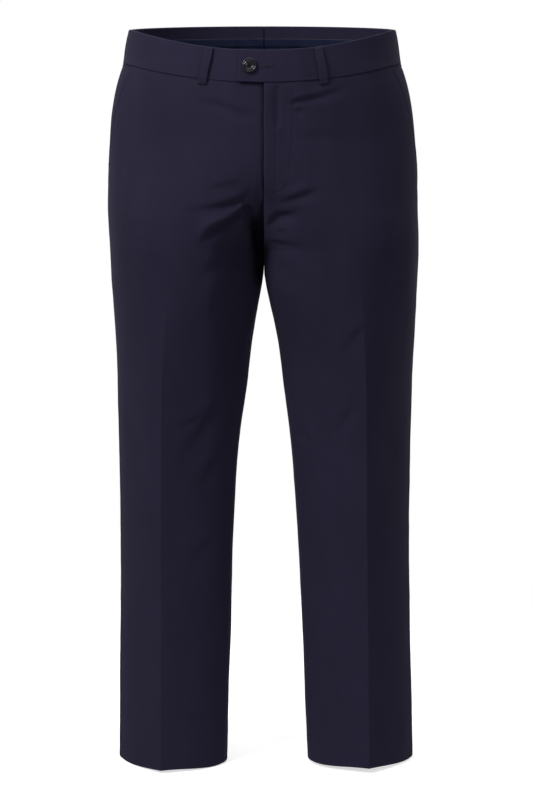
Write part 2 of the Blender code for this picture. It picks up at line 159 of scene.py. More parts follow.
Crease = namedtuple("Crease", "z right left share power")
CREASE = [Crease(*row) for row in (
    (15, 96, 94, 0.0, 2.0),
    (-178, 112, 112, 0.05, 1.9),
    (-246, 121, 120, 0.12, 1.8),
    (-297, 127, 125.5, 0.25, 1.7),
    (-373, 131.5, 132.5, 0.48, 1.5),
    (-475, 138.5, 138.5, 0.85, 1.3),
    (-600, 141.5, 141, 1.0, 1.22),
    (-1032, 145, 148, 1.0, 1.2),
)]
CREASE_ROUNDING = 1.75
CREASE_RISE = 2.4
CREASE_REACH = 15.0

# Ripples of the cloth: their height, size and squeeze along the leg
Ripple = namedtuple("Ripple", "height size squeeze")
RIPPLES = (Ripple(0.75, 46, 0.55), Ripple(0.22, 15, 0.8))
INNER_SEAM = 0.55
OUTER_SEAM = 0.5

# Folds of each panel: the line of the trough seen from the front as (x, z) points, its depth, half
# width, and the share of its length over which it deepens and fades; a shoulder rises above it
Fold = namedtuple("Fold", "points depth width rise fade shoulder")
FOLDS = {
    # from the fly's foot and the crotch out over the thigh, then the hip, the knee and the shin
    ("front", -1): (
        Fold(
            ((-17, -214), (-22, -223), (-30, -230), (-42, -235), (-58, -239), (-112, -247)),
            3.0, 5.5, 0.3, 0.7, 0.5,
        ),
        Fold(
            ((-21, -241), (-33, -251), (-48, -261), (-60, -266), (-68, -271), (-84, -292)),
            9.2, 5.5, 0.06, 0.5, 0.5,
        ),
        Fold(((-20, -240), (-16, -252), (-13, -264), (-11, -276), (-12, -300)), 9.0, 4.5, 0.06, 0.25, 0.1),
        Fold(((-28, -254), (-27, -264), (-27, -276)), -3.0, 5, 0.3, 0.5, 0.0),
        Fold(((-22, -306), (-36, -308), (-50, -312), (-66, -320), (-88, -340)), 3.4, 8, 0.15, 0.6, 0.2),
        Fold(((-24, -292), (-48, -296), (-68, -296)), 1.4, 7, 0.3, 0.5, 0.2),
        Fold(((-80, -217), (-52, -212), (-25, -207)), 1.1, 6, 0.4, 0.3, 0.4),
        Fold(((-92, -99), (-62, -104), (-34, -115), (-10, -120)), 1.5, 6, 0.3, 0.3, 0.4),
        Fold(((-7.5, -180), (-8, -215), (-9, -244)), 0.5, 2.2, 0.3, 0.2, 0.2),
        Fold(((-12, -330), (-40, -352), (-92, -410)), 3.2, 13, 0.2, 0.8, 0.4),
        Fold(((-84, -528), (-108, -540), (-124, -545)), 1.3, 7, 0.3, 0.6, 0.4),
        Fold(((-54, -500), (-71, -528), (-91, -559), (-112, -600)), 2.6, 10, 0.2, 0.7, 0.5),
        Fold(((-62, -584), (-76, -612), (-88, -640)), 2.2, 10, 0.25, 0.7, 0.5),
        Fold(((-66, -694), (-83, -721), (-104, -752)), 1.5, 11, 0.3, 0.7, 0.4),
        Fold(((-125, -954), (-100, -962), (-66, -969)), 1.3, 7, 0.5, 0.4, 0.4),
        Fold(((-196, -520), (-176, -560), (-168, -600)), 1.6, 12, 0.3, 0.7, 0.3),
        Fold(((-204, -300), (-184, -330), (-164, -380)), 1.5, 12, 0.3, 0.7, 0.3),
    ),
    # beside the fly, from the crotch out over the thigh, then the knee and the shin
    ("front", 1): (
        Fold(((34, -102), (54, -98), (77, -93), (94, -88), (116, -78)), 2.4, 4.5, 0.1, 0.5, 0.5),
        Fold(((39, -114), (57, -110)), 1.3, 4, 0.3, 0.5, 0.3),
        Fold(((14, -238), (29, -232), (40, -228), (52, -224), (76, -217)), 3.3, 5.5, 0.5, 0.35, 0.45),
        Fold(((7, -268), (13, -257), (21, -253), (35, -251), (54, -241)), 4.4, 6.5, 0.15, 0.6, 0.45),
        Fold(((16, -272), (32, -275)), 1.6, 4, 0.3, 0.5, 0.3),
        Fold(((6, -286), (19, -289), (35, -291), (56, -300)), 2.8, 5, 0.1, 0.8, 0.4),
        Fold(((12, -316), (48, -338), (84, -382)), 2.0, 12, 0.2, 0.8, 0.4),
        Fold(((36, -150), (70, -146), (120, -150)), 0.9, 9, 0.4, 0.6, 0.2),
        Fold(((137, -396), (118, -426), (106, -452)), 1.8, 9, 0.25, 0.8, 0.4),
        Fold(((122, -508), (110, -538), (90, -566)), 2.0, 8, 0.3, 0.6, 0.4),
        Fold(((48, -542), (60, -566), (56, -590)), 1.6, 6, 0.3, 0.6, 0.4),
        Fold(((70, -590), (96, -612), (104, -650)), 1.2, 12, 0.3, 0.7, 0.3),
        Fold(((168, -560), (190, -600), (196, -640)), 1.4, 12, 0.3, 0.6, 0.3),
        Fold(((82, -925), (110, -940), (140, -946)), 1.1, 9, 0.4, 0.5, 0.3),
        Fold(((196, -330), (176, -352), (160, -392)), 1.5, 12, 0.3, 0.7, 0.3),
    ),
    # from the seat and the crotch, and behind the knee
    ("back", 1): (
        Fold(((8, -262), (46, -286), (96, -304), (150, -300)), 4.6, 9, 0.1, 0.8, 0.5),
        Fold(((12, -300), (50, -336), (112, -376)), 4.0, 10, 0.15, 0.8, 0.5),
        Fold(((6, -236), (40, -236), (92, -222)), 1.8, 9, 0.15, 0.8, 0.4),
        Fold(((50, -516), (96, -540), (160, -556)), 3.0, 10, 0.2, 0.7, 0.5),
        Fold(((60, -600), (104, -584), (150, -590)), 2.0, 11, 0.3, 0.7, 0.4),
        Fold(((60, -100), (110, -108), (150, -100)), 1.2, 10, 0.4, 0.5, 0.3),
    ),
    # the same places on the other side, unevenly
    ("back", -1): (
        Fold(((-8, -256), (-42, -284), (-92, -310), (-146, -316)), 5.0, 9, 0.1, 0.8, 0.5),
        Fold(((-12, -306), (-48, -336), (-118, -360)), 4.0, 10, 0.15, 0.8, 0.5),
        Fold(((-6, -230), (-46, -236), (-96, -232)), 1.8, 9, 0.15, 0.8, 0.4),
        Fold(((-56, -548), (-100, -540), (-160, -524)), 3.0, 10, 0.2, 0.7, 0.5),
        Fold(((-60, -600), (-98, -618), (-150, -640)), 2.0, 11, 0.3, 0.7, 0.4),
        Fold(((-50, -112), (-100, -104), (-150, -112)), 1.2, 10, 0.4, 0.5, 0.3),
    ),
}


# ---------------------------------------------------------------- the form

def column(table, name, z):
    """A column of a table at heights z, on a smooth curve that never overshoots its rows."""
    heights = np.array([row.z for row in table][::-1], float)
    values = np.array([getattr(row, name) for row in table][::-1], float)
    rate = np.diff(values) / np.diff(heights)
    slope = np.empty_like(values)
    slope[0] = rate[0]
    slope[-1] = rate[-1]
    before = rate[:-1]
    after = rate[1:]
    same = before * after > 0
    slope[1:-1] = np.where(same, 2 * before * after / np.where(same, before + after, 1), 0)
    z = np.clip(z, heights[0], heights[-1])
    i = np.clip(np.searchsorted(heights, z, side="right") - 1, 0, len(heights) - 2)
    step = heights[i + 1] - heights[i]
    t = (z - heights[i]) / step
    return (
        values[i] * (1 + 2 * t) * (1 - t) ** 2
        + slope[i] * step * t * (1 - t) ** 2
        + values[i + 1] * t * t * (3 - 2 * t)
        + slope[i + 1] * step * t * t * (t - 1)
    )


def soft_step(value, start, end):
    t = np.clip((value - start) / (end - start), 0, 1)
    return t * t * (3 - 2 * t)


def window(value, start, full, fading, end):
    """Rises from 0 to 1 between start and full, and falls back between fading and end."""
    return soft_step(value, start, full) * (1 - soft_step(value, fading, end))


def bell(distance, width):
    return np.exp(-((distance / width) ** 2))


def lengths_along(points, axis=0):
    """Distances along a line, or along the lines of a grid, from their first points."""
    steps = np.linalg.norm(np.diff(points, axis=axis), axis=-1)
    return np.concatenate([0 * steps.take([0], axis=axis), np.cumsum(steps, axis=axis)], axis=axis)


def at_length(place, lengths, values):
    """Rows of values at places along a line whose points lie at the given lengths."""
    return np.stack([np.interp(place, lengths, column) for column in np.transpose(values)], axis=-1)


def spread(start, end, count):
    return np.linspace(start, end, count + 1)


def wearer(side):
    return "left" if side > 0 else "right"


Section = namedtuple("Section", "middle reach start depth crease share power seam_y turn_out")


def section_at(face, side, z):
    """One side's sections at heights z: x = middle - reach cos(angle), angle from start to pi."""
    hand = wearer(side)
    outer = column(OUTLINE, hand + "_out", z) + LEG_EASE * soft_step(-z, 250, 340)
    inner = column(OUTLINE, hand + "_in", z)
    cosine = column(RISE, face, z)
    above = cosine * outer / (1 + cosine)
    middle = np.where(z > CROTCH_Z, above, (outer + inner) / 2)
    reach = outer - middle
    start = np.arccos(np.clip((middle - inner) / reach, -1, 1))
    crease = column(CREASE, hand, z)
    if face == "back":
        crease = outer + inner - crease
    share, power = (column(CREASE, name, z) for name in ("share", "power"))
    depth, seam_y, turn_out = (column(PROFILE, name, z) for name in (face, "seam_y", "turn_out"))
    return Section(middle, reach, start, depth, crease, share, power, seam_y, turn_out)


def body(face, side, z, angle):
    """Points of the outer surface without its folds."""
    s = section_at(face, side, z)
    across = s.middle - s.reach * np.cos(angle)
    inner_run = s.crease - s.middle + s.reach
    outer_run = s.middle + s.reach - s.crease
    inside = across < s.crease
    from_crease = np.where(inside, (s.crease - across) / inner_run, (across - s.crease) / outer_run)
    from_crease = np.clip(from_crease, 0, 1)
    facets = np.clip(1 - from_crease**s.power, 0, 1) ** (1 / CREASE_ROUNDING)
    bulge = (1 - s.share) * np.sin(angle) + s.share * facets
    depth = s.depth * bulge
    towards = -1 if face == "front" else 1
    y = s.seam_y + towards * depth + s.turn_out * (across - s.middle)
    return np.stack([side * across, y, z + 0 * across], axis=-1)


def unit(v):
    return v / np.maximum(np.linalg.norm(v, axis=-1, keepdims=True), 1e-9)


def body_normal(face, side, z, angle):
    """The outward directions of the unfolded surface."""
    start = section_at(face, side, z).start
    low = np.maximum(angle - 0.02, start)
    high = np.minimum(angle + 0.02, math.pi)
    around = body(face, side, z, high) - body(face, side, z, low)
    upward = body(face, side, z + 1.0, angle) - body(face, side, z - 1.0, angle)
    outward = side if face == "front" else -side
    return unit(np.cross(around, upward)) * outward


# How far a hem hangs below its level at the toe or heel, the inseam and the side seam, and how
# much more it hangs half-way between them
Hem = namedtuple("Hem", "middle inner outer belly")
HEMS = {1: Hem(-1.8, 0.5, 4.3, 1.7), -1: Hem(1.5, 3.0, 4.3, 2.4)}


def hem_height(side, level, angle):
    hem = HEMS[side]
    ends = np.where(angle > math.pi / 2, hem.outer, hem.inner)
    hang = hem.middle + (ends - hem.middle) * np.cos(angle) ** 2 + hem.belly * np.sin(2 * angle) ** 2
    return -hang * soft_step(-level, 980, -HEM_Z)


def row_height(face, level, angle):
    """The height of a level: the waist dips at the front, its seam a little less, and rises behind."""
    round_here = np.clip(np.sin(angle), 0, 1)
    if face == "front":
        amount = -WAIST_DIP_FRONT * (1 - (1 - SEAM_DIP) * soft_step(-level, 0, BAND_HEIGHT)) * round_here**2
    else:
        amount = WAIST_RISE_BACK * round_here
    return level + amount * soft_step(level, TILT_ENDS_Z, -BAND_HEIGHT)


def line_distance(points, x, z):
    """Signed distance of places to a line (+ above it) and how far along it they are, 0 to 1."""
    best = np.full(np.shape(x), 1e9)
    signed = np.full(np.shape(x), 1e9)
    along = np.zeros(np.shape(x))
    passed = lengths_along(points)
    for (x1, z1), (x2, z2), start, end in zip(points, points[1:], passed, passed[1:]):
        dx = (x2 - x1) / (end - start)
        dz = (z2 - z1) / (end - start)
        run = np.clip((x - x1) * dx + (z - z1) * dz, 0, end - start)
        off_x = x - x1 - run * dx
        off_z = z - z1 - run * dz
        away = np.hypot(off_x, off_z)
        closer = away < best
        best = np.where(closer, away, best)
        signed = np.where(closer, np.where(off_z >= 0, away, -away), signed)
        along = np.where(closer, (start + run) / passed[-1], along)
    return signed, along


def fold_push(face, side, x, z):
    """How far the folds push the cloth outwards at places seen from the front."""
    push = np.zeros(np.shape(x))
    for fold in FOLDS[face, side]:
        signed, along = line_distance(fold.points, x, z)
        strength = window(along, -0.02, fold.rise, 1 - fold.fade, 1.02)
        narrow = fold.width * (0.75 + 0.5 * along)
        wall = np.where(signed > 0, STEEP_WALL, GENTLE_WALL) * narrow
        above = bell(signed - 1.6 * narrow, 1.3 * narrow)
        below = bell(signed + 2.2 * narrow, 1.7 * narrow)
        shoulder = fold.shoulder * (above + 0.4 * below)
        push += fold.depth * strength * (shoulder - bell(signed, wall))
    return push


def cloth_noise(points, scale, seed):
    """Smooth seeded noise at points, about -1 to 1."""
    flat = points.reshape(-1, 3) / scale
    shift = Vector((seed * 17.3, seed * 5.1, seed * 9.7))
    values = [noise.noise(Vector(p) + shift) for p in flat]
    return np.array(values).reshape(points.shape[:-1])


# ---------------------------------------------------------------- meshes

def grid_normals(grid, outward):
    """Normals of a grid of points, turned to the side of the given directions."""
    down = np.gradient(grid, axis=0)
    across = np.gradient(grid, axis=1)
    normals = unit(np.cross(across, down))
    flip = np.sign(np.sum(normals * outward, axis=-1, keepdims=True))
    return normals * np.where(flip == 0, 1, flip)


def new_piece(name, points, faces, uvs=None, smooth_angle=40):
    data = bpy.data.meshes.new(name)
    data.from_pydata([tuple(p) for p in np.asarray(points) * MM], [], faces)
    if uvs is not None:
        layer = data.uv_layers.new(name="cloth")
        loops = np.empty(len(data.loops), int)
        data.loops.foreach_get("vertex_index", loops)
        layer.data.foreach_set("uv", (np.asarray(uvs)[loops] * MM).ravel())
    data.shade_smooth()
    data.set_sharp_from_angle(angle=math.radians(smooth_angle))
    data.update()
    piece = bpy.data.objects.new(name, data)
    bpy.context.scene.collection.objects.link(piece)
    return piece


def outward_faces(piece):
    mesh = bmesh.new()
    mesh.from_mesh(piece.data)
    bmesh.ops.recalc_face_normals(mesh, faces=mesh.faces)
    mesh.to_mesh(piece.data)
    mesh.free()


def grid_uvs(grid):
    """Cloth coordinates of a grid: millimetres across from the middle column and down from the top."""
    middle = grid.shape[1] // 2
    across = lengths_along(grid, 1)
    down = lengths_along(grid[:, middle])
    return np.stack([across - across[:, middle : middle + 1], -down[:, None] + 0 * across], axis=-1)


def make_wall(name, outer, inner):
    """A closed wall between two grids of points."""
    rows, columns = outer.shape[:2]
    count = rows * columns
    index = np.arange(count).reshape(rows, columns)
    a, b = index[:-1, :-1].ravel(), index[:-1, 1:].ravel()
    c, d = index[1:, 1:].ravel(), index[1:, :-1].ravel()
    faces = np.concatenate([np.stack([a, b, c, d], 1), np.stack([d, c, b, a], 1) + count]).tolist()
    border = [*index[0], *index[1:, -1], *index[-1, -2::-1], *index[-2:0:-1, 0]]
    for p, q in zip(border, border[1:] + border[:1]):
        faces.append((q, p, p + count, q + count))
    uvs = grid_uvs(outer).reshape(-1, 2)
    points = np.concatenate([outer.reshape(-1, 3), inner.reshape(-1, 3)])
    piece = new_piece(name, points, faces, np.concatenate([uvs, uvs]))
    outward_faces(piece)
    return piece


def tube_sides(index):
    """Faces between rings of point numbers."""
    turned = np.roll(index, -1, axis=1)
    return np.stack([index[:-1], turned[:-1], turned[1:], index[1:]], axis=-1).reshape(-1, 4).tolist()


def make_sweep(name, rings, smooth_angle=40):
    """A solid through rings of points, capped at its ends."""
    rings = np.asarray(rings, float)
    count, size = rings.shape[:2]
    index = np.arange(count * size).reshape(count, size)
    faces = [*tube_sides(index), index[0].tolist(), index[-1, ::-1].tolist()]
    along = lengths_along(rings.mean(axis=1))
    around = np.linalg.norm(rings - np.roll(rings, 1, axis=1), axis=-1).cumsum(axis=1)
    uvs = np.stack([np.repeat(along[:, None], size, axis=1), around], axis=-1).reshape(-1, 2)
    piece = new_piece(name, rings.reshape(-1, 3), faces, uvs, smooth_angle)
    outward_faces(piece)
    return piece


# ---------------------------------------------------------------- panels

def panel_levels():
    top = -BAND_HEIGHT - SEAM
    coarse = 1
    stretches = ((top, -190, 48), (-190, -320, 96), (-320, -640, 102), (-640, HEM_Z, 96))
    levels = [spread(a, b, n // coarse)[:-1] for a, b, n in stretches]
    return np.concatenate(levels + [[HEM_Z]])


def mouth_place(level):
    top = -BAND_HEIGHT
    cut = 1 - 2 * POCKET_FORWARD * (level - POCKET_BOTTOM_LEVEL) / (top - POCKET_BOTTOM_LEVEL)
    return np.where(level <= POCKET_BOTTOM_LEVEL, 1.0, cut)


def panel_angles(face, side, z, last, inner, outer):
    """Angles across a panel at heights z: inner shares run to the crease, outer ones beyond it."""
    s = section_at(face, side, z)
    crease = np.arccos(np.clip((s.middle - s.crease) / s.reach, -1, 1))
    end = np.where(last < 1, math.pi / 2 + math.pi / 2 * last, math.pi)
    return s.start + (crease - s.start) * inner + (end - crease) * outer


INNER_COLUMNS = 84
OUTER_COLUMNS = 50
END_SPACING = 0.45


def shares(count):
    """Shares from 0 to 1 that lie closer together at both ends."""
    even = spread(0, 1, count)
    return even - (1 - END_SPACING) * np.sin(2 * math.pi * even) / (2 * math.pi)


def surface_grid(face, side):
    """The outer grid of a panel without folds: points, outward directions, levels and angles."""
    coarse = 1
    inner_count = INNER_COLUMNS // coarse
    outer_count = OUTER_COLUMNS // coarse
    levels = panel_levels()[:, None]
    inner = np.concatenate([shares(inner_count), np.ones(outer_count)])[None, :]
    outer = np.concatenate([np.zeros(inner_count + 1), shares(outer_count)[1:]])[None, :]
    last = mouth_place(levels) if face == "front" else np.ones_like(levels)
    z = levels + 0 * inner
    angles = panel_angles(face, side, z, last, inner, outer)
    z = row_height(face, z, angles) + hem_height(side, levels, angles)
    angles = panel_angles(face, side, z, last, inner, outer)
    points = body(face, side, z, angles)
    outward = body_normal(face, side, z, angles)
    return points, outward, levels, angles


def edge_distances(grid):
    """Distance along each row from its first and its last point."""
    from_first = lengths_along(grid, 1)
    return from_first, from_first[:, -1:] - from_first


def fly_relief(side, x, z, from_inner):
    """The left front's folded edge over the right one, and the ridge of the zip behind it."""
    length = soft_step(z, FLY_BOTTOM_Z - 4, FLY_BOTTOM_Z + 14)
    below_band = 1 - soft_step(z, -BAND_HEIGHT - WAIST_DIP_FRONT - 36, -BAND_HEIGHT - WAIST_DIP_FRONT - 2)
    if side < 0:
        below_tab = bell(z + BAND_HEIGHT + SEAM_DIP * WAIST_DIP_FRONT, 7)
        under_tab = 1.4 * (1 - soft_step(from_inner, -TAB_END_X - 3, -TAB_END_X + 3)) * below_tab
        return -1.8 * bell(from_inner, 3.5) * length - under_tab
    beside = np.clip(1 - from_inner / FLY_EDGE_WIDTH, 0, 1) ** 1.5
    push = FLY_EDGE_LIFT * beside * length * below_band
    push += 1.05 * TAB_LIFT * (1 - soft_step(x, *TAB_RAMP)) * (1 - below_band)
    push -= 1.0 * bell(from_inner, 0.9) * length
    high = soft_step(z, -140, -124)
    valley = bell(x - 16.0 - 2.0 * high, 1.5 + 3.5 * high)
    push -= (0.6 + 1.5 * high) * valley * length * soft_step(-z, 74, 86)
    return push


def crotch_depth(side, x, z, share):
    """How a front keeps its depth by the crotch: the left leg stands full over the right one.

    share is how much of the section's full depth a place has, 0 to 1.
    """
    across = np.abs(x)
    if side > 0:
        height = window(z, -470, -345, -290, -225)
        fullness = FULLNESS - FULLNESS_FALL * soft_step(across, 60, 160)
        return np.clip(share, 0.02, 1) ** (-fullness * height)
    narrow = window(z, -356, -318, -280, -252)
    reach = 12 + 7 * soft_step(-z, 240, 292)
    deep = RECESS * narrow * (1 - soft_step(across, 0.4 * reach, 1.15 * reach))
    height = window(-z, 240, 306, 440, 680)
    wide = WIDE_RECESS * (1 - soft_step(across, 8, 150)) + EDGE_RECESS * (1 - soft_step(across, 10, 76))
    return (1 - deep) * (1 - wide * height)


def fly_foot_hollow(side, x, z):
    """The hollow round the foot of the fly, and the right front's fall under the left one."""
    round_x = (np.abs(x) - 10) / 36
    round_z = (z + 252) / (26 if side < 0 else 20)
    hollow = FOOT_HOLLOW * np.exp(-(round_x**2) - round_z**2)
    if side > 0:
        return -0.6 * hollow * soft_step(x, 2, 18)
    fall = window(-z, 222, 262, 270, 306) * (1 - soft_step(np.abs(x), 2, 32))
    return -hollow - FOOT_FALL * fall


def fly_stitch_line():
    """The J that holds the fly facing, as (x, z) points from the waist seam to the fly's foot."""
    points = [(FLY_STITCH_X + 1.0, -74.0), (FLY_STITCH_X, -150.0), (FLY_STITCH_X - 2.5, -185.0)]
    turn = 22.0
    centre = (FLY_STITCH_X - 3.5 - turn, -196.0)
    for i in range(1, 8):
        a = math.radians(82 * i / 7)
        points.append((centre[0] + turn * math.cos(a), centre[1] - (turn + 2) * math.sin(a)))
    points.append((12.0, -222.0))
    return points


def seam_relief(distance, depth, z):
    """A pressed seam: a fine valley at the join and the allowance that shows beside it."""
    low = soft_step(-z, 400, 560)
    allowance = 9 + 7 * low
    valley = -depth * bell(distance, 1.5)
    plateau = (0.15 + 0.45 * low) * (1 - soft_step(distance, allowance - 1.3, allowance + 1.3))
    return valley + plateau


def held_by_the_seam(outward, x, z):
    """Directions that lose their sideways part by the centre seam, so that it stays closed."""
    free = soft_step(np.abs(x), 1, 24)
    high = soft_step(z, LEGS_PART_Z - 24, LEGS_PART_Z + 6)
    held = outward.copy()
    held[..., 0] *= 1 - high * (1 - free)
    return held


def seam_wall(edge, other_edge):
    """The left front's cloth where it turns in along the centre seam, down to the right front's edge."""
    edge = edge[(edge[:, 2] > LEGS_PART_Z + 6) & (edge[:, 2] < FLY_BOTTOM_Z + 6)]
    other_y = np.interp(-edge[:, 2], -other_edge[:, 2], other_edge[:, 1])
    depth = np.maximum(other_y - edge[:, 1], 0) + 0.6
    steps = spread(0, 1, 14)[None, :]
    outer = np.repeat(edge[:, None, :], steps.shape[1], axis=1)
    outer[..., 0] += 0.02
    outer[..., 1] += 0.25 + depth[:, None] * steps
    inner = outer + np.array([CLOTH, 0, 0])
    return make_wall("seam_wall", outer, inner)


def join(piece, other):
    """Adds another piece's mesh to a piece."""
    mesh = bmesh.new()
    mesh.from_mesh(piece.data)
    mesh.from_mesh(other.data)
    mesh.to_mesh(piece.data)
    mesh.free()
    bpy.data.objects.remove(other, do_unlink=True)


def meet_in_the_middle(grid, side):
    """Closes the two sides on one gently waved plane down to where the legs part."""
    x = grid[..., 0]
    z = grid[..., 2]
    fade = soft_step(z, LEGS_PART_Z - 3, LEGS_PART_Z + 12)
    met = side * CONTACT + 0.3 * np.sin(z / 9) * fade
    beside = 1 - soft_step(np.abs(x - x[:, :1]), 0, 6)
    x = x + (met - x[:, :1]) * beside * fade
    limit = np.where(fade > 0, met, 0.02 * side) + side * 0.002 * np.arange(x.shape[1])
    x = np.maximum(x, limit) if side > 0 else np.minimum(x, limit)
    return np.concatenate([x[..., None], grid[..., 1:]], axis=-1)


# How far the columns of a seam allowance run beyond the edge of the panel, and lie under it
TUCK_RUNS = np.array([0.15, 0.5, TUCK_WIDTH / 2, TUCK_WIDTH])[:, None]
TUCK_DROPS = np.array([0.35, CLOTH + 0.25, CLOTH + 0.3, CLOTH + 0.4])[:, None]


def tucked(outer, inner, normals, at_start):
    """Adds a seam allowance that lies under the next panel, beyond the first or last column."""
    edge, beside = (0, 3) if at_start else (-1, -4)
    out = normals[:, edge]
    away = unit(outer[:, edge] - outer[:, beside])
    away = unit(away - out * np.sum(away * out, axis=-1, keepdims=True))
    top = outer[:, edge, None] + away[:, None] * TUCK_RUNS - out[:, None] * TUCK_DROPS
    under = top - out[:, None] * CLOTH
    if at_start:
        return np.concatenate([top[:, ::-1], outer], 1), np.concatenate([under[:, ::-1], inner], 1)
    return np.concatenate([outer, top], 1), np.concatenate([inner, under], 1)


def panel_push(face, side, points, levels, angles):
    """How far a panel's cloth stands out: its folds, seams, fly, pocket mouth, crease and ripples."""
    x = points[..., 0]
    z = points[..., 2]
    from_inner, from_outer = edge_distances(points)
    push = fold_push(face, side, x, z) * np.clip(np.sin(angles), 0, 1) ** 0.7
    push += seam_relief(from_inner, INNER_SEAM, z) * (1 - window(z, -390, -340, -296, -280))
    in_pocket = (levels > POCKET_BOTTOM_LEVEL) & (face == "front")
    push += np.where(in_pocket, 0.0, seam_relief(from_outer, OUTER_SEAM, z))
    push -= 0.8 * bell(levels + BAND_HEIGHT, 1.6)
    if face == "front":
        push += fly_relief(side, x, z, from_inner) + fly_foot_hollow(side, x, z)
        mouth = 0.5 * bell(from_outer, 2.5) - 0.35 * bell(from_outer - 5.5, 0.9)
        push += np.where(in_pocket, mouth, 0.0)
        if side > 0:
            stitching = line_distance(fly_stitch_line(), x, z)[0]
            push += 0.25 * bell(np.abs(stitching) - 3.0, 2.0) - 0.5 * bell(stitching, 0.9)
    beside_crease = crease_distance(face, side, points)
    crease_line = 0.4 * bell(beside_crease, 1.6) + CREASE_RISE * np.exp(-beside_crease / CREASE_REACH)
    push += crease_line * soft_step(-z, 330, 470)
    seed = 3 + side + (10 if face == "back" else 0)
    for number, ripple in enumerate(RIPPLES):
        stretched = points * (1, 1, ripple.squeeze)
        push += ripple.height * cloth_noise(stretched, ripple.size, seed + 20 * number)
    if face == "back":
        same = bell(from_inner, 16) * soft_step(z, LEGS_PART_Z - 30, LEGS_PART_Z + 10)
        push += same * (seam_relief(from_inner, INNER_SEAM, z) - push)
    return push


def make_panel(face, side, other_edge=None):
    """A panel's cloth as a closed wall, and its outer grid of points with their normals."""
    points, outward, levels, angles = surface_grid(face, side)
    x, y, z = np.moveaxis(points, -1, 0)
    push = panel_push(face, side, points, levels, angles)
    outer = points + held_by_the_seam(outward, x, z) * push[..., None]
    if face == "front":
        s = section_at(face, side, z)
        whole = y if side > 0 else outer[..., 1]
        keep = crotch_depth(side, x, z, (s.seam_y - y) / s.depth)
        outer[..., 1] += (whole - s.seam_y) * (keep - 1)
    outer = meet_in_the_middle(outer, side)
    normals = grid_normals(outer, outward)
    thick = np.where(levels < HEM_Z + HEM_TURN, HEM_CLOTH, CLOTH)
    inner = outer - normals * thick[..., None]
    inner[..., 0] = side * np.maximum(side * inner[..., 0], side * outer[:, :1, 0])
    walls = outer, inner
    if face == "back":
        walls = tucked(*walls, normals, False)
    if (face == "front") == (side < 0):
        walls = tucked(*walls, normals, True)
    piece = make_wall(f"cloth_{face}_{wearer(side)}", *walls)
    if other_edge is not None:
        join(piece, seam_wall(outer[:, 0], other_edge))
    return piece, outer, normals


def crease_distance(face, side, points):
    """Distance across the cloth from the pressed crease."""
    z = points[..., 2]
    crease = section_at(face, side, z).crease
    return np.abs(np.abs(points[..., 0]) - crease)


# ---------------------------------------------------------------- round the waist

def ring_places(places, drop):
    """Points and outward directions round the waist, at drops below the waistline."""
    places = np.asarray(places, float)
    drop = drop + 0 * places
    share = np.abs(places)
    points, normals = np.empty((2, *places.shape, 3))
    for side in (1, -1):
        for face in ("front", "back"):
            here = (np.where(places >= 0, 1, -1) == side) & ((share <= 0.5) == (face == "front"))
            if not here.any():
                continue
            s = share[here]
            if face == "front":
                angle = math.pi / 2 + math.pi * s
            else:
                angle = math.pi - math.pi * (s - 0.5)
            z = row_height(face, -drop[here], angle)
            points[here] = body(face, side, z, angle)
            normals[here] = body_normal(face, side, z, angle)
    return points, normals


def ring_at(places, drop, offset):
    points, normals = ring_places(places, drop)
    return points + normals * (offset + 0 * np.asarray(places, float))[..., None]


def place_of_x(x, drop):
    """Places round the front of the waist that lie at given x."""
    x = np.atleast_1d(np.asarray(x, float))
    low = np.full(x.shape, -0.5)
    high = np.full(x.shape, 0.5)
    for _ in range(30):
        middle = (low + high) / 2
        short = ring_places(middle, drop)[0][:, 0] < x
        low = np.where(short, middle, low)
        high = np.where(short, high, middle)
    return (low + high) / 2


def band_profile(height, outside, inside, edge, bulge=0.0, top=0.0):
    """A strip's cross-section as (drop, offset) pairs, rounded at its top and bottom edges."""
    half = (outside - inside) / 2
    middle = (outside + inside) / 2
    pairs = []
    for a in np.linspace(0, math.pi, 9):
        pairs.append((top + edge - edge * math.sin(a), middle - half * math.cos(a)))
    for t in np.linspace(0.06, 0.94, 12):
        pairs.append((top + edge + (height - 2 * edge) * t, outside + bulge * math.sin(math.pi * t)))
    for a in np.linspace(0, math.pi, 9):
        pairs.append((top + height - edge + edge * math.sin(a), middle + half * math.cos(a)))
    for t in np.linspace(0.97, 0.03, 30):
        pairs.append((top + edge + (height - 2 * edge) * t, inside))
    return pairs


def sweep_band(name, places, profile, lift=0.0, squash_ends=True):
    """A strip round the waist through a cross-section of (drop, offset) pairs."""
    offsets = [offset for _, offset in profile]
    middle = (max(offsets) + min(offsets)) / 2
    thinner = np.ones(len(places))
    if squash_ends:
        thinner[[0, -1]] = 0.45
        thinner[[1, -2]] = 0.85
    rails = [ring_at(places, drop, middle + (offset - middle) * thinner + lift) for drop, offset in profile]
    return make_sweep(name, np.stack(rails, axis=1))


def band_lift(places):
    x = ring_places(places, BAND_HEIGHT / 2)[0][:, 0]
    near = np.asarray(places) < 0.4
    return np.where(near, TAB_LIFT * (1 - soft_step(x, *TAB_RAMP)), 0.0)


def with_ends(start, end, count, rounding):
    """Places from start to end with close ones at each end, for a rounded edge."""
    direction = math.copysign(1, end - start)
    return np.concatenate([
        [start, start + direction * rounding],
        np.linspace(start + direction * 3 * rounding, end - direction * 3 * rounding, count),
        [end - direction * rounding, end],
    ])


ROUNDING = 0.0011
CENTRE_GAP = 0.0014
BACK_GAP = 0.0003
LIP = 0.8


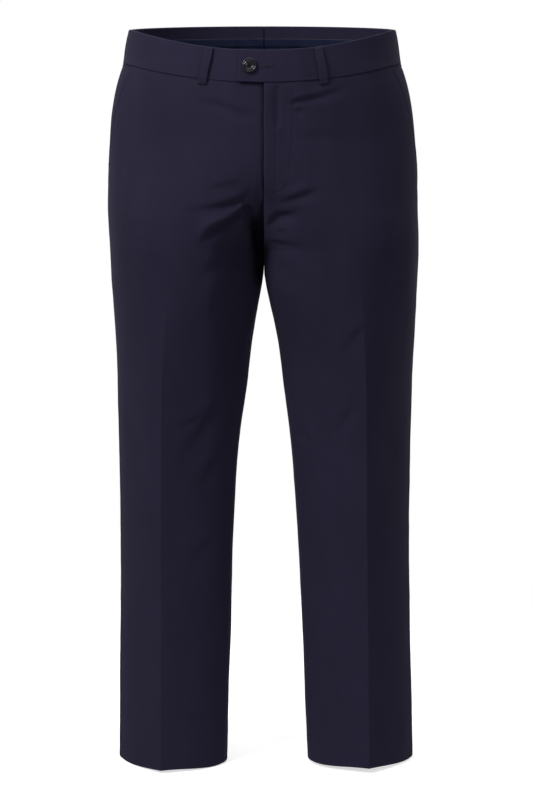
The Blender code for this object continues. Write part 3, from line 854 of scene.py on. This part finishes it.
def waistband_profile():
    """The band's cross-section, with a lip at its foot that laps over the top of the panels."""
    profile = band_profile(BAND_HEIGHT - SEAM, BAND_PROUD, BAND_PROUD - BAND_THICK, 1.3, 0.2)
    foot = BAND_HEIGHT - SEAM
    lip = [(foot - 1.0, BAND_PROUD), (foot + LIP * 0.7, BAND_PROUD - 0.02), (foot + LIP, BAND_PROUD - 0.35)]
    lip += [(foot + LIP * 0.8, BAND_PROUD - 0.75), (foot - 0.1, BAND_PROUD - 0.85)]
    lip += [(foot - 0.12, BAND_PROUD - BAND_THICK + 0.5), (foot - 0.5, BAND_PROUD - BAND_THICK)]
    before = [pair for pair in profile[:21] if pair[0] < foot - 2.0 or pair[1] < 0]
    after = [pair for pair in profile[30:] if pair[0] < foot - 2.0]
    return before + lip + after


def make_waistbands():
    """Both halves of the waistband; the left one lifts off the panels where it laps the right one."""
    count = 230
    profile = waistband_profile()
    bands = []
    for side, end_x in ((1, TAB_END_X), (-1, UNDERLAP_END_X)):
        end = place_of_x(end_x, BAND_HEIGHT / 2)[0]
        places = with_ends(end, side * (1 - BACK_GAP), count, ROUNDING)
        lift = band_lift(places) if side > 0 else 0.0
        bands.append(sweep_band(f"cloth_waistband_{wearer(side)}", places, profile, lift))
    return bands


def lip_share(drop, offset, outside):
    """The strip's upper part is doubled: it stands inwards over the part below it."""
    fold = FACING_HEIGHT + CURTAIN_FOLD
    doubled = window(drop, FACING_HEIGHT + 0.4, FACING_HEIGHT + 1.2, fold - 0.4, fold + 0.4)
    return doubled * soft_step(outside - offset, 0.1, 0.6)


def make_facings(side):
    """The self-cloth facing of one half, the lining strip under it and the piping between them."""
    outside = BAND_PROUD - BAND_THICK - 0.3
    front = place_of_x(UNDERLAP_END_X + 0.3, BAND_HEIGHT / 2)[0]
    first = front if side > 0 else -0.004
    places = with_ends(first, side * (1 - CENTRE_GAP), 180, ROUNDING)
    facing = band_profile(FACING_HEIGHT - 1.4, outside, outside - 1.0, 0.4, 0.0, 0.8)
    curtain = band_profile(CURTAIN_HEIGHT - 0.6, outside + 0.1, outside - 0.7, 0.3, 0.0, FACING_HEIGHT + 0.4)
    curtain = [(drop, offset - CURTAIN_LIP * lip_share(drop, offset, outside)) for drop, offset in curtain]
    turns = np.linspace(0, 2 * math.pi, 9)[:-1]
    cord = [(FACING_HEIGHT - 0.1 + 0.55 * math.sin(a), outside - 0.75 + 0.5 * math.cos(a)) for a in turns]
    return (
        sweep_band(f"cloth_facing_{wearer(side)}", places, facing),
        sweep_band(f"lining_curtain_{wearer(side)}", places, curtain),
        sweep_band(f"waist_piping_{wearer(side)}", places, cord, squash_ends=False),
    )


# ---------------------------------------------------------------- belt loops

Loop = namedtuple("Loop", "name side place lean", defaults=(0.0,))
LOOPS = [Loop(*row) for row in (
    ("front_left", 1, 0.1265, 0.004),
    ("front_right", -1, 0.123, 0.008),
    ("side_left", 1, 0.545),
    ("side_right", -1, 0.545),
    ("back_left", 1, 0.775),
    ("back_right", -1, 0.775),
    ("centre_back", 1, 1.0),
)]
LOOP_WIDTH = 11.0
LOOP_THICK = 1.8
LOOP_LENGTH = 53.0
WAIST_RADIUS = 175.0


def wrap(places):
    return np.where(places > 1, places - 2, np.where(places < -1, places + 2, places))


def loop_path(drop):
    """Offset of a loop's inner face from the panels, at a drop below the waistline."""
    seat = BAND_PROUD + 0.3 - 0.6 * soft_step(drop, BAND_HEIGHT + 1.6, BAND_HEIGHT + 4)
    return seat + 2.4 * np.sin(np.pi * np.clip(drop / LOOP_LENGTH, 0, 1)) ** 0.7


def make_belt_loop(loop):
    half = LOOP_WIDTH / 2 / (math.pi * WAIST_RADIUS)
    middle = loop.side * loop.place
    drops = np.concatenate([[0.9, 1.2, 1.8, 3], np.linspace(5, 50, 24), [51.5, 52.4, 52.9, 53.1]])
    ends = np.concatenate([[0.3, 0.7, 0.92, 1], np.ones(24), [1, 0.9, 0.65, 0.3]])
    turn = np.linspace(0, 2 * math.pi, 33)[:-1]
    across = np.copysign(np.abs(np.cos(turn)) ** 0.25, np.cos(turn))
    thick = np.copysign(np.abs(np.sin(turn)) ** 0.6, np.sin(turn))
    groove = np.where(thick > 0, 0.16 * bell(np.abs(across) - 0.72, 0.07), 0)
    rings = []
    for drop, end in zip(drops, ends):
        places = wrap(middle + loop.side * loop.lean * drop / LOOP_LENGTH + half * across)
        offset = loop_path(drop) + LOOP_THICK / 2 + (LOOP_THICK / 2 * thick - groove) * end
        rings.append(ring_at(places, drop, offset))
    return make_sweep(f"cloth_loop_{loop.name}", rings, smooth_angle=60)


# ---------------------------------------------------------------- pockets

def make_pocket_piece(side):
    levels = np.linspace(-BAND_HEIGHT - SEAM, POCKET_BOTTOM_LEVEL + 4, 70)[:, None]
    mouth = mouth_place(levels)
    across = mouth + (1 - mouth) * np.linspace(0, 1, 24)
    share = np.concatenate([mouth - POCKET_TUCK, across], axis=1)
    angles = math.pi / 2 + math.pi / 2 * share
    z = row_height("front", levels + 0 * share, angles)
    points = body("front", side, z, angles)
    normals = body_normal("front", side, z, angles)
    under = -(CLOTH + 0.5) * (1 - soft_step(share, mouth, 1.0))
    under -= 0.4 * bell((1 - share) * 220, 1.6)
    outer = points + normals * under[..., None]
    inner = outer - normals * CLOTH
    return make_wall(f"cloth_pocket_{wearer(side)}", outer, inner)


# ---------------------------------------------------------------- thread

STITCH = 2.3
STITCH_GAP = 0.55
# Stations along a stitch: share of its length, share of its thickness, and rise
STATIONS = ((0.0, 0.35, -0.25), (0.18, 0.9, 0.12), (0.5, 1.0, 0.2), (0.82, 0.9, 0.12), (1.0, 0.35, -0.25))


class Threads:
    """Stitches gathered into one mesh: short rounded bars lying in the cloth."""

    def __init__(self):
        self.points = []
        self.faces = []

    def bar(self, start, end, normal, radius=0.26):
        start = Vector(start)
        end = Vector(end)
        out = Vector(normal).normalized()
        aside = (end - start).normalized().cross(out).normalized()
        index = len(self.points) + np.arange(len(STATIONS) * 6).reshape(-1, 6)
        for t, swell, rise in STATIONS:
            centre = start.lerp(end, t) + out * rise
            for k in range(6):
                a = math.tau * k / 6
                self.points.append(centre + (aside * math.cos(a) + out * math.sin(a)) * radius * swell)
        self.faces += [*tube_sides(index), index[0, ::-1].tolist(), index[-1].tolist()]

    def run(self, points, normals):
        """Stitches along a line of points."""
        lengths = lengths_along(points)
        for start in np.arange(0.3, lengths[-1] - STITCH, STITCH + STITCH_GAP):
            first = at_length(start, lengths, points)
            last = at_length(start + STITCH, lengths, points)
            self.bar(first, last, at_length(start + STITCH / 2, lengths, normals))

    def build(self, name):
        return new_piece(name, [tuple(p) for p in self.points], self.faces, smooth_angle=80)


def on_grid(grid, normals, rows, columns):
    """Points and normals at fractional rows and columns of a grid."""
    rows = np.clip(rows, 0, grid.shape[0] - 1.001)
    columns = np.clip(columns, 0, grid.shape[1] - 1.001)
    i, j = rows.astype(int), columns.astype(int)
    u, v = (rows - i)[:, None], (columns - j)[:, None]
    result = []
    for data in (grid, normals):
        top = data[i, j] * (1 - v) + data[i, j + 1] * v
        low = data[i + 1, j] * (1 - v) + data[i + 1, j + 1] * v
        result.append(top * (1 - u) + low * u)
    return result


def project_front(grid, normals, points):
    """Points (x, z) seen from the front, put on a front panel's grid."""
    flat = grid.reshape(-1, 3)
    found = []
    directions = []
    for x, z in points:
        away = (flat[:, 0] - x) ** 2 + (flat[:, 2] - z) ** 2
        near = np.argpartition(away, 6)[:6]
        weight = 1 / (away[near] + 0.05)
        weight /= weight.sum()
        y = (flat[near, 1] * weight).sum()
        found.append((x, y, z))
        directions.append(unit((normals.reshape(-1, 3)[near] * weight[:, None]).sum(axis=0)))
    return np.array(found), np.array(directions)


def resample(points, step):
    lengths = lengths_along(points)
    count = max(2, int(lengths[-1] / step))
    return at_length(np.linspace(0, lengths[-1], count), lengths, points)


def bar_tack(threads, place, direction, normal, length, count, width):
    """A dense bar of short stitches across a line."""
    direction = Vector(direction).normalized()
    out = Vector(normal).normalized()
    half = direction.cross(out).normalized() * width / 2 + direction * 0.25
    for share in np.linspace(-0.5, 0.5, count):
        middle = Vector(place) + out * 0.1 + direction * length * share
        threads.bar(middle - half, middle + half, out, 0.22)


def stitch_fly(threads, grid, normals):
    line = resample(fly_stitch_line(), 1.2)
    points, directions = project_front(grid, normals, line)
    threads.run(points + directions * 0.05, directions)
    foot, out = project_front(grid, normals, [(8.0, -223.4)])
    bar_tack(threads, foot[0], (1, 0, 0.06), out[0], 11.0, 14, 1.5)


def stitch_pocket(threads, grid, normals):
    """A row of stitches along the mouth of a slant pocket and a bar tack at each end."""
    low = POCKET_BOTTOM_LEVEL + 26
    rows = np.array([i for i, level in enumerate(panel_levels()) if low < level < -BAND_HEIGHT - 3])
    from_outer = edge_distances(grid)[1]

    def inset_by(distance, rows):
        """Places on rows of the grid at a distance from the mouth."""
        columns = [np.interp(-distance, -from_outer[row], np.arange(grid.shape[1])) for row in rows]
        return on_grid(grid, normals, np.array(rows, float), np.array(columns))

    threads.run(*inset_by(5.5, rows))
    for row in (rows[2], rows[-1]):
        point, out = inset_by(3.0, [row])
        bar_tack(threads, point[0], grid[row, -1] - grid[row, -12], out[0], 7.0, 10, 1.6)


def stitch_loops(threads):
    """Bar tacks at the top and the foot of each belt loop."""
    for loop in LOOPS:
        for drop in (4.0, LOOP_LENGTH - 2.6):
            middle = loop.side * (loop.place + loop.lean * drop / LOOP_LENGTH)
            place = wrap(np.array([middle]))
            point, out = ring_places(place, drop)
            point = point + out * (loop_path(drop) + LOOP_THICK - 0.05)
            beside, _ = ring_places(wrap(np.array([middle + 0.003])), drop)
            aside = beside[0] - ring_places(place, drop)[0][0]
            bar_tack(threads, point[0], aside, out[0], LOOP_WIDTH - 3.0, 13, 1.5)


def stitch_buttonhole(threads):
    """A close wrap of thread round the slit of the buttonhole on the tab."""
    drop = BUTTON_DROP + 0.6
    offset = BAND_PROUD + TAB_LIFT + 0.55
    places = place_of_x(np.linspace(*BUTTONHOLE_ENDS_X, 41), drop)
    out = ring_places(places, drop)[1]
    for lean in (1, -1):
        low = ring_at(places, drop - lean * 0.35, offset)
        high = ring_at(places, drop - lean * 1.75, offset)
        for start, end, normal in zip(low, high, out):
            threads.bar(start, end, normal, 0.2)
    point = ring_at(places[-1:], drop, offset)
    bar_tack(threads, point[0], (0, 0, 1), out[-1], 3.2, 7, 1.4)


# ---------------------------------------------------------------- button

# Half of the button's section, as shares of its radius and its thickness
BUTTON_PROFILE = (
    (0.0, 0.0), (0.6, 0.0), (0.82, 0.05), (0.95, 0.25), (1.0, 0.5), (0.985, 0.7), (0.95, 0.86), (0.9, 0.97),
    (0.86, 1.0), (0.82, 0.97), (0.78, 0.86), (0.74, 0.72), (0.7, 0.66), (0.66, 0.7), (0.62, 0.78),
    (0.58, 0.8), (0.54, 0.74), (0.5, 0.62), (0.45, 0.52), (0.38, 0.46), (0.2, 0.43), (0.0, 0.42),
)
HOLE_RADIUS = 0.95
HOLE_CIRCLE = 2.0


def make_button():
    """A glossy four-hole button with a raised rim and a dished middle."""
    data = bpy.data.meshes.new("trouser_button")
    points = [(r * BUTTON_RADIUS * MM, 0, h * BUTTON_THICK * MM) for r, h in BUTTON_PROFILE]
    data.from_pydata(points, [(i, i + 1) for i in range(len(points) - 1)], [])
    button = bpy.data.objects.new("trouser_button", data)
    bpy.context.scene.collection.objects.link(button)
    turn = button.modifiers.new("turn", "SCREW")
    turn.steps = turn.render_steps = 72
    turn.use_merge_vertices = True
    turn.merge_threshold = 0.00001
    turn.use_normal_calculate = True
    cutters = []
    for i in range(4):
        a = math.radians(45 + 90 * i)
        bpy.ops.mesh.primitive_cylinder_add(vertices=24, radius=HOLE_RADIUS * MM, depth=0.02)
        hole = bpy.context.object
        hole.location = Vector((math.cos(a), math.sin(a), 0)) * HOLE_CIRCLE * MM
        cut = button.modifiers.new(f"hole_{i}", "BOOLEAN")
        cut.object = hole
        cutters.append(hole)
    bpy.context.view_layer.update()
    graph = bpy.context.evaluated_depsgraph_get()
    made = bpy.data.meshes.new_from_object(button.evaluated_get(graph))
    button.modifiers.clear()
    for hole in cutters:
        bpy.data.objects.remove(hole, do_unlink=True)
    seat, out = ring_places(place_of_x(BUTTON_X, BUTTON_DROP), BUTTON_DROP)
    location = Vector(seat[0] + out[0] * (BAND_PROUD + TAB_LIFT + 0.8)) * MM
    lean = Vector(out[0]) + Vector((0.03, 0, 0.05))
    sewn_on = Matrix.Translation(location) @ lean.to_track_quat("Z", "Y").to_matrix().to_4x4()
    made.transform(sewn_on)
    button.data = made
    made.shade_smooth()
    made.set_sharp_from_angle(angle=math.radians(35))
    return button, sewn_on


def thread_button(threads, sewn_on):
    """The thread that runs from hole to hole of the button, along two sides and across."""
    out = sewn_on.to_3x3() @ Vector((0, 0, 1))
    height = 0.48 * BUTTON_THICK + 0.15
    reach = HOLE_CIRCLE - 0.1
    for i in range(4):
        first = math.radians(45 + 90 * i)
        second = first + math.radians(90 if i % 2 == 0 else 180)
        for shift in (-0.28, 0.0, 0.28):
            ends = []
            for a in (first, second):
                hole = Vector((reach * math.cos(a) + shift, reach * math.sin(a) + shift, height))
                ends.append((sewn_on @ (hole * MM)) / MM)
            threads.bar(*ends, out, 0.3)


# ---------------------------------------------------------------- materials

TWILL_ANGLE = math.radians(63)
WHITE = (1, 1, 1, 1)


def feed(tree, made, inputs):
    """Sets a node's inputs: plain values are set, and outputs of other nodes are linked."""
    for key, value in inputs.items():
        if isinstance(value, bpy.types.NodeSocket):
            tree.links.new(value, made.inputs[key])
        else:
            made.inputs[key].default_value = value


def node(tree, kind, inputs=None, **settings):
    made = tree.nodes.new("ShaderNode" + kind)
    for key, value in settings.items():
        setattr(made, key, value)
    feed(tree, made, inputs or {})
    return made


def new_material(name):
    material = bpy.data.materials.new(name)
    material.use_nodes = True
    tree = material.node_tree
    return material, tree, tree.nodes["Principled BSDF"]


def ramp(tree, factor, start, dark, end, light):
    """A blend from a dark to a light colour while a factor goes from start to end."""
    made = node(tree, "ValToRGB", {"Fac": factor})
    for element, position, colour in zip(made.color_ramp.elements, (start, end), (dark, light)):
        element.position = position
        element.color = (*colour, 1)
    return made.outputs["Color"]


def relief(tree, height, strength, distance):
    made = node(tree, "Bump", {"Height": height, "Strength": strength, "Distance": distance})
    return made.outputs["Normal"]


def cloth_material(name, dark, light, roughness, sheen, weave, bump):
    """Fine twill: diagonal ribs, slubs in the yarn, and soft mottling of the colour."""
    material, tree, shader = new_material(name)
    place = node(tree, "TexCoord")
    turned = {"Scale": (1 / weave, 1 / weave, 1), "Rotation": (0, 0, TWILL_ANGLE)}
    yarn = node(tree, "Mapping", {"Vector": place.outputs["UV"], **turned})
    wave = {"Vector": yarn.outputs[0], "Scale": 0.5, "Distortion": 1.6, "Detail": 2.0, "Detail Scale": 1.5}
    ribs = node(tree, "TexWave", wave, wave_type="BANDS", wave_profile="SIN").outputs["Fac"]
    spot = place.outputs["Object"]
    fibres = node(tree, "TexNoise", {"Vector": spot, "Scale": 900, "Detail": 4}).outputs["Fac"]
    hanging = node(tree, "Mapping", {"Vector": spot, "Scale": (1, 1, 0.35)}).outputs[0]
    cloudy = {"Vector": hanging, "Scale": 26, "Detail": 4, "Roughness": 0.6}
    mottle = node(tree, "TexNoise", cloudy).outputs["Fac"]
    share = node(tree, "Math", {0: mottle, 1: 0.65}, operation="MULTIPLY").outputs[0]
    tone = node(tree, "Math", {0: ribs, 1: 0.35, 2: share}, operation="MULTIPLY_ADD").outputs[0]
    rough = node(tree, "MapRange", {"Value": fibres, "To Min": roughness - 0.06, "To Max": roughness + 0.06})
    height = node(tree, "Math", {0: ribs, 1: fibres}, operation="ADD").outputs[0]
    feed(tree, shader, {
        "Base Color": ramp(tree, tone, 0.25, dark, 0.78, light),
        "Roughness": rough.outputs["Result"],
        "Normal": relief(tree, height, bump, 0.00012),
        "Sheen Weight": sheen,
        "Sheen Roughness": 0.45,
        "Sheen Tint": (0.62, 0.64, 0.8, 1),
        "Specular IOR Level": 0.1,
    })
    return material


def lining_material(name, dark, light):
    """Smooth lining satin with fine cross ribs."""
    material, tree, shader = new_material(name)
    spot = node(tree, "TexCoord").outputs["Object"]
    grain = node(tree, "TexNoise", {"Vector": spot, "Scale": 60, "Detail": 5}).outputs["Fac"]
    ribs = node(tree, "TexWave", {"Vector": spot, "Scale": 700}, wave_type="BANDS", bands_direction="Z")
    feed(tree, shader, {
        "Base Color": ramp(tree, grain, 0.3, dark, 0.7, light),
        "Normal": relief(tree, ribs.outputs["Fac"], 0.25, 0.00005),
        "Roughness": 0.6,
        "Specular IOR Level": 0.1,
    })
    return material


def button_material(name):
    """Dark horn-like resin, streaked and glossy."""
    material, tree, shader = new_material(name)
    spot = node(tree, "TexCoord").outputs["Object"]
    streaks = node(tree, "TexNoise", {"Vector": spot, "Scale": 240, "Detail": 6, "Distortion": 1.4})
    tones = ramp(tree, streaks.outputs["Fac"], 0.4, (0.008, 0.007, 0.012), 0.75, (0.022, 0.019, 0.028))
    feed(tree, shader, {
        "Base Color": tones,
        "Roughness": 0.12,
        "Specular IOR Level": 0.4,
    })
    return material


# ---------------------------------------------------------------- floor, light and camera

FLOOR_Z = HEM_Z - 6.0
FLOOR_RADIUS = 1.05


def by_ray(tree, camera, others, output):
    """Shows one shader to the camera and another to all other rays."""
    rays = node(tree, "LightPath").outputs["Is Camera Ray"]
    mix = node(tree, "MixShader", {0: rays, 1: others.outputs[0], 2: camera.outputs[0]})
    feed(tree, output, {"Surface": mix.outputs[0]})


def make_floor():
    """A pale floor that sends the cloth only a dull light."""
    place = (0, 0, FLOOR_Z * MM)
    bpy.ops.mesh.primitive_circle_add(vertices=96, radius=FLOOR_RADIUS, fill_type="NGON", location=place)
    floor = bpy.context.object
    floor.name = "floor"
    material, tree, shader = new_material("floor_white")
    grain = node(tree, "TexNoise", {"Vector": node(tree, "TexCoord").outputs["Object"], "Scale": 3})
    feed(tree, shader, {
        "Base Color": ramp(tree, grain.outputs["Fac"], 0, (0.72, 0.72, 0.72), 1, (0.74, 0.74, 0.74)),
        "Roughness": 1.0,
        "Specular IOR Level": 0.0,
        "Emission Color": WHITE,
        "Emission Strength": 0.62,
    })
    by_ray(tree, shader, node(tree, "Emission", {"Strength": 0.5}), tree.nodes["Material Output"])
    floor.data.materials.append(material)


def make_world():
    """White round the camera's view, and a soft light that is stronger from behind."""
    world = bpy.data.worlds.new("studio")
    bpy.context.scene.world = world
    world.use_nodes = True
    tree = world.node_tree
    tree.nodes.clear()
    way = node(tree, "SeparateXYZ", {0: node(tree, "TexCoord").outputs["Generated"]}).outputs["Y"]
    behind = node(tree, "MapRange", {"Value": way, "From Min": 0.1, "To Min": 0.19, "To Max": 0.9})
    fill = node(tree, "Background", {"Color": WHITE, "Strength": behind.outputs["Result"]})
    seen = node(tree, "Background", {"Color": WHITE, "Strength": 1.0})
    by_ray(tree, seen, fill, node(tree, "OutputWorld"))


def area_light(name, location, target, size, power):
    data = bpy.data.lights.new(name, "AREA")
    data.shape = "RECTANGLE"
    data.size, data.size_y = size
    data.energy = power
    light = bpy.data.objects.new(name, data)
    bpy.context.scene.collection.objects.link(light)
    light.location = location
    aim = Vector(target) - Vector(location)
    light.rotation_mode = "QUATERNION"
    light.rotation_quaternion = aim.to_track_quat("-Z", "Y")


def make_lights():
    area_light("key", (-1.95, -1.85, 1.65), (0, 0, -0.1), (0.9, 1.1), 80)
    area_light("front_fill", (1.3, -3.1, 0.3), (0, 0, -0.2), (1.2, 1.2), 20)
    area_light("overhead", (0.0, 0.2, 2.0), (0, 0.2, -1), (3.0, 3.0), 50)


CAMERA_DISTANCE = 2.8
CAMERA_HEIGHT = -0.1507
CAMERA_DOWN = 7.4
CAMERA_X = 0.0035
FOCAL_PIXELS = 2000
FRAME_HEIGHT_PIXELS = 800
SENSOR_MM = 36.0


def make_camera():
    data = bpy.data.cameras.new("camera")
    data.sensor_width = SENSOR_MM
    data.lens = FOCAL_PIXELS / FRAME_HEIGHT_PIXELS * SENSOR_MM
    camera = bpy.data.objects.new("camera", data)
    bpy.context.scene.collection.objects.link(camera)
    camera.location = (CAMERA_X, -CAMERA_DISTANCE, CAMERA_HEIGHT)
    camera.rotation_euler = (math.radians(90 - CAMERA_DOWN), 0, 0)
    bpy.context.scene.camera = camera


# ---------------------------------------------------------------- dressing the frame


def dress(piece, material, node_name=None):
    """Gives a piece its material, slot and body, and hides the model's solid that it stands for."""
    piece.data.materials.clear()
    piece.data.materials.append(material)
    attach(piece, BODY)
    if node_name:
        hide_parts(node_name)


def dress_panels(threads, wool):
    for face in ("front", "back"):
        edge = None
        for side in (-1, 1):
            piece, grid, normals = make_panel(face, side, edge)
            dress(piece, wool, f"{face}_{wearer(side)}")
            width = float(lengths_along(grid, 1).max()) * MM
            length = float(lengths_along(grid, 0).max()) * MM
            if face == "front":
                edge = grid[:, 0]
                stitch_pocket(threads, grid, normals)
                if side > 0:
                    stitch_fly(threads, grid, normals)


def dress_waist(wool, lining, piping):
    for piece, side in zip(make_waistbands(), (1, -1)):
        dress(piece, wool, f"waistband_{wearer(side)}")
    for side in (1, -1):
        hand = wearer(side)
        facing, curtain, cord = make_facings(side)
        dress(facing, wool, f"facing_{hand}")
        dress(curtain, lining, f"curtain_{hand}")
        dress(cord, piping)


def main():
    make_camera()
    make_world()
    make_floor()
    make_lights()
    bpy.context.scene.view_settings.view_transform = "Standard"

    wool_tones = (0.0150, 0.0128, 0.0300), (0.0205, 0.0177, 0.0395)
    wool = cloth_material("navy_wool", *wool_tones, roughness=0.85, sheen=0.03, weave=0.0011, bump=0.35)
    thread_tones = (0.026, 0.025, 0.045), (0.045, 0.044, 0.07)
    thread = cloth_material("navy_thread", *thread_tones, roughness=0.6, sheen=0.05, weave=0.0004, bump=0.2)
    tape_tones = (0.008, 0.008, 0.014), (0.014, 0.014, 0.022)
    tape = cloth_material("zip_tape", *tape_tones, roughness=0.7, sheen=0.05, weave=0.0008, bump=0.3)
    lining = lining_material("blue_lining", (0.0038, 0.0072, 0.023), (0.008, 0.0112, 0.034))
    piping = lining_material("waist_piping", (0.034, 0.033, 0.046), (0.048, 0.047, 0.06))

    threads = Threads()
    dress_panels(threads, wool)
    for side in (1, -1):
        piece = make_pocket_piece(side)
        dress(piece, wool, f"pocket_piece_{wearer(side)}")
    dress_waist(wool, lining, piping)
    for loop in LOOPS:
        dress(make_belt_loop(loop), wool, f"belt_loop_{loop.name}")
    stitch_loops(threads)
    button, sewn_on = make_button()
    dress(button, button_material("dark_button"), "button")
    cross = Threads()
    thread_button(cross, sewn_on)
    dress(cross.build("button_thread"), tape)
    stitch_buttonhole(threads)
    dress(threads.build("stitching"), thread)
    for name, material in (("fly_shield", wool), ("fly_zip", tape)):
        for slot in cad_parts[name].material_slots:
            slot.material = material


main()
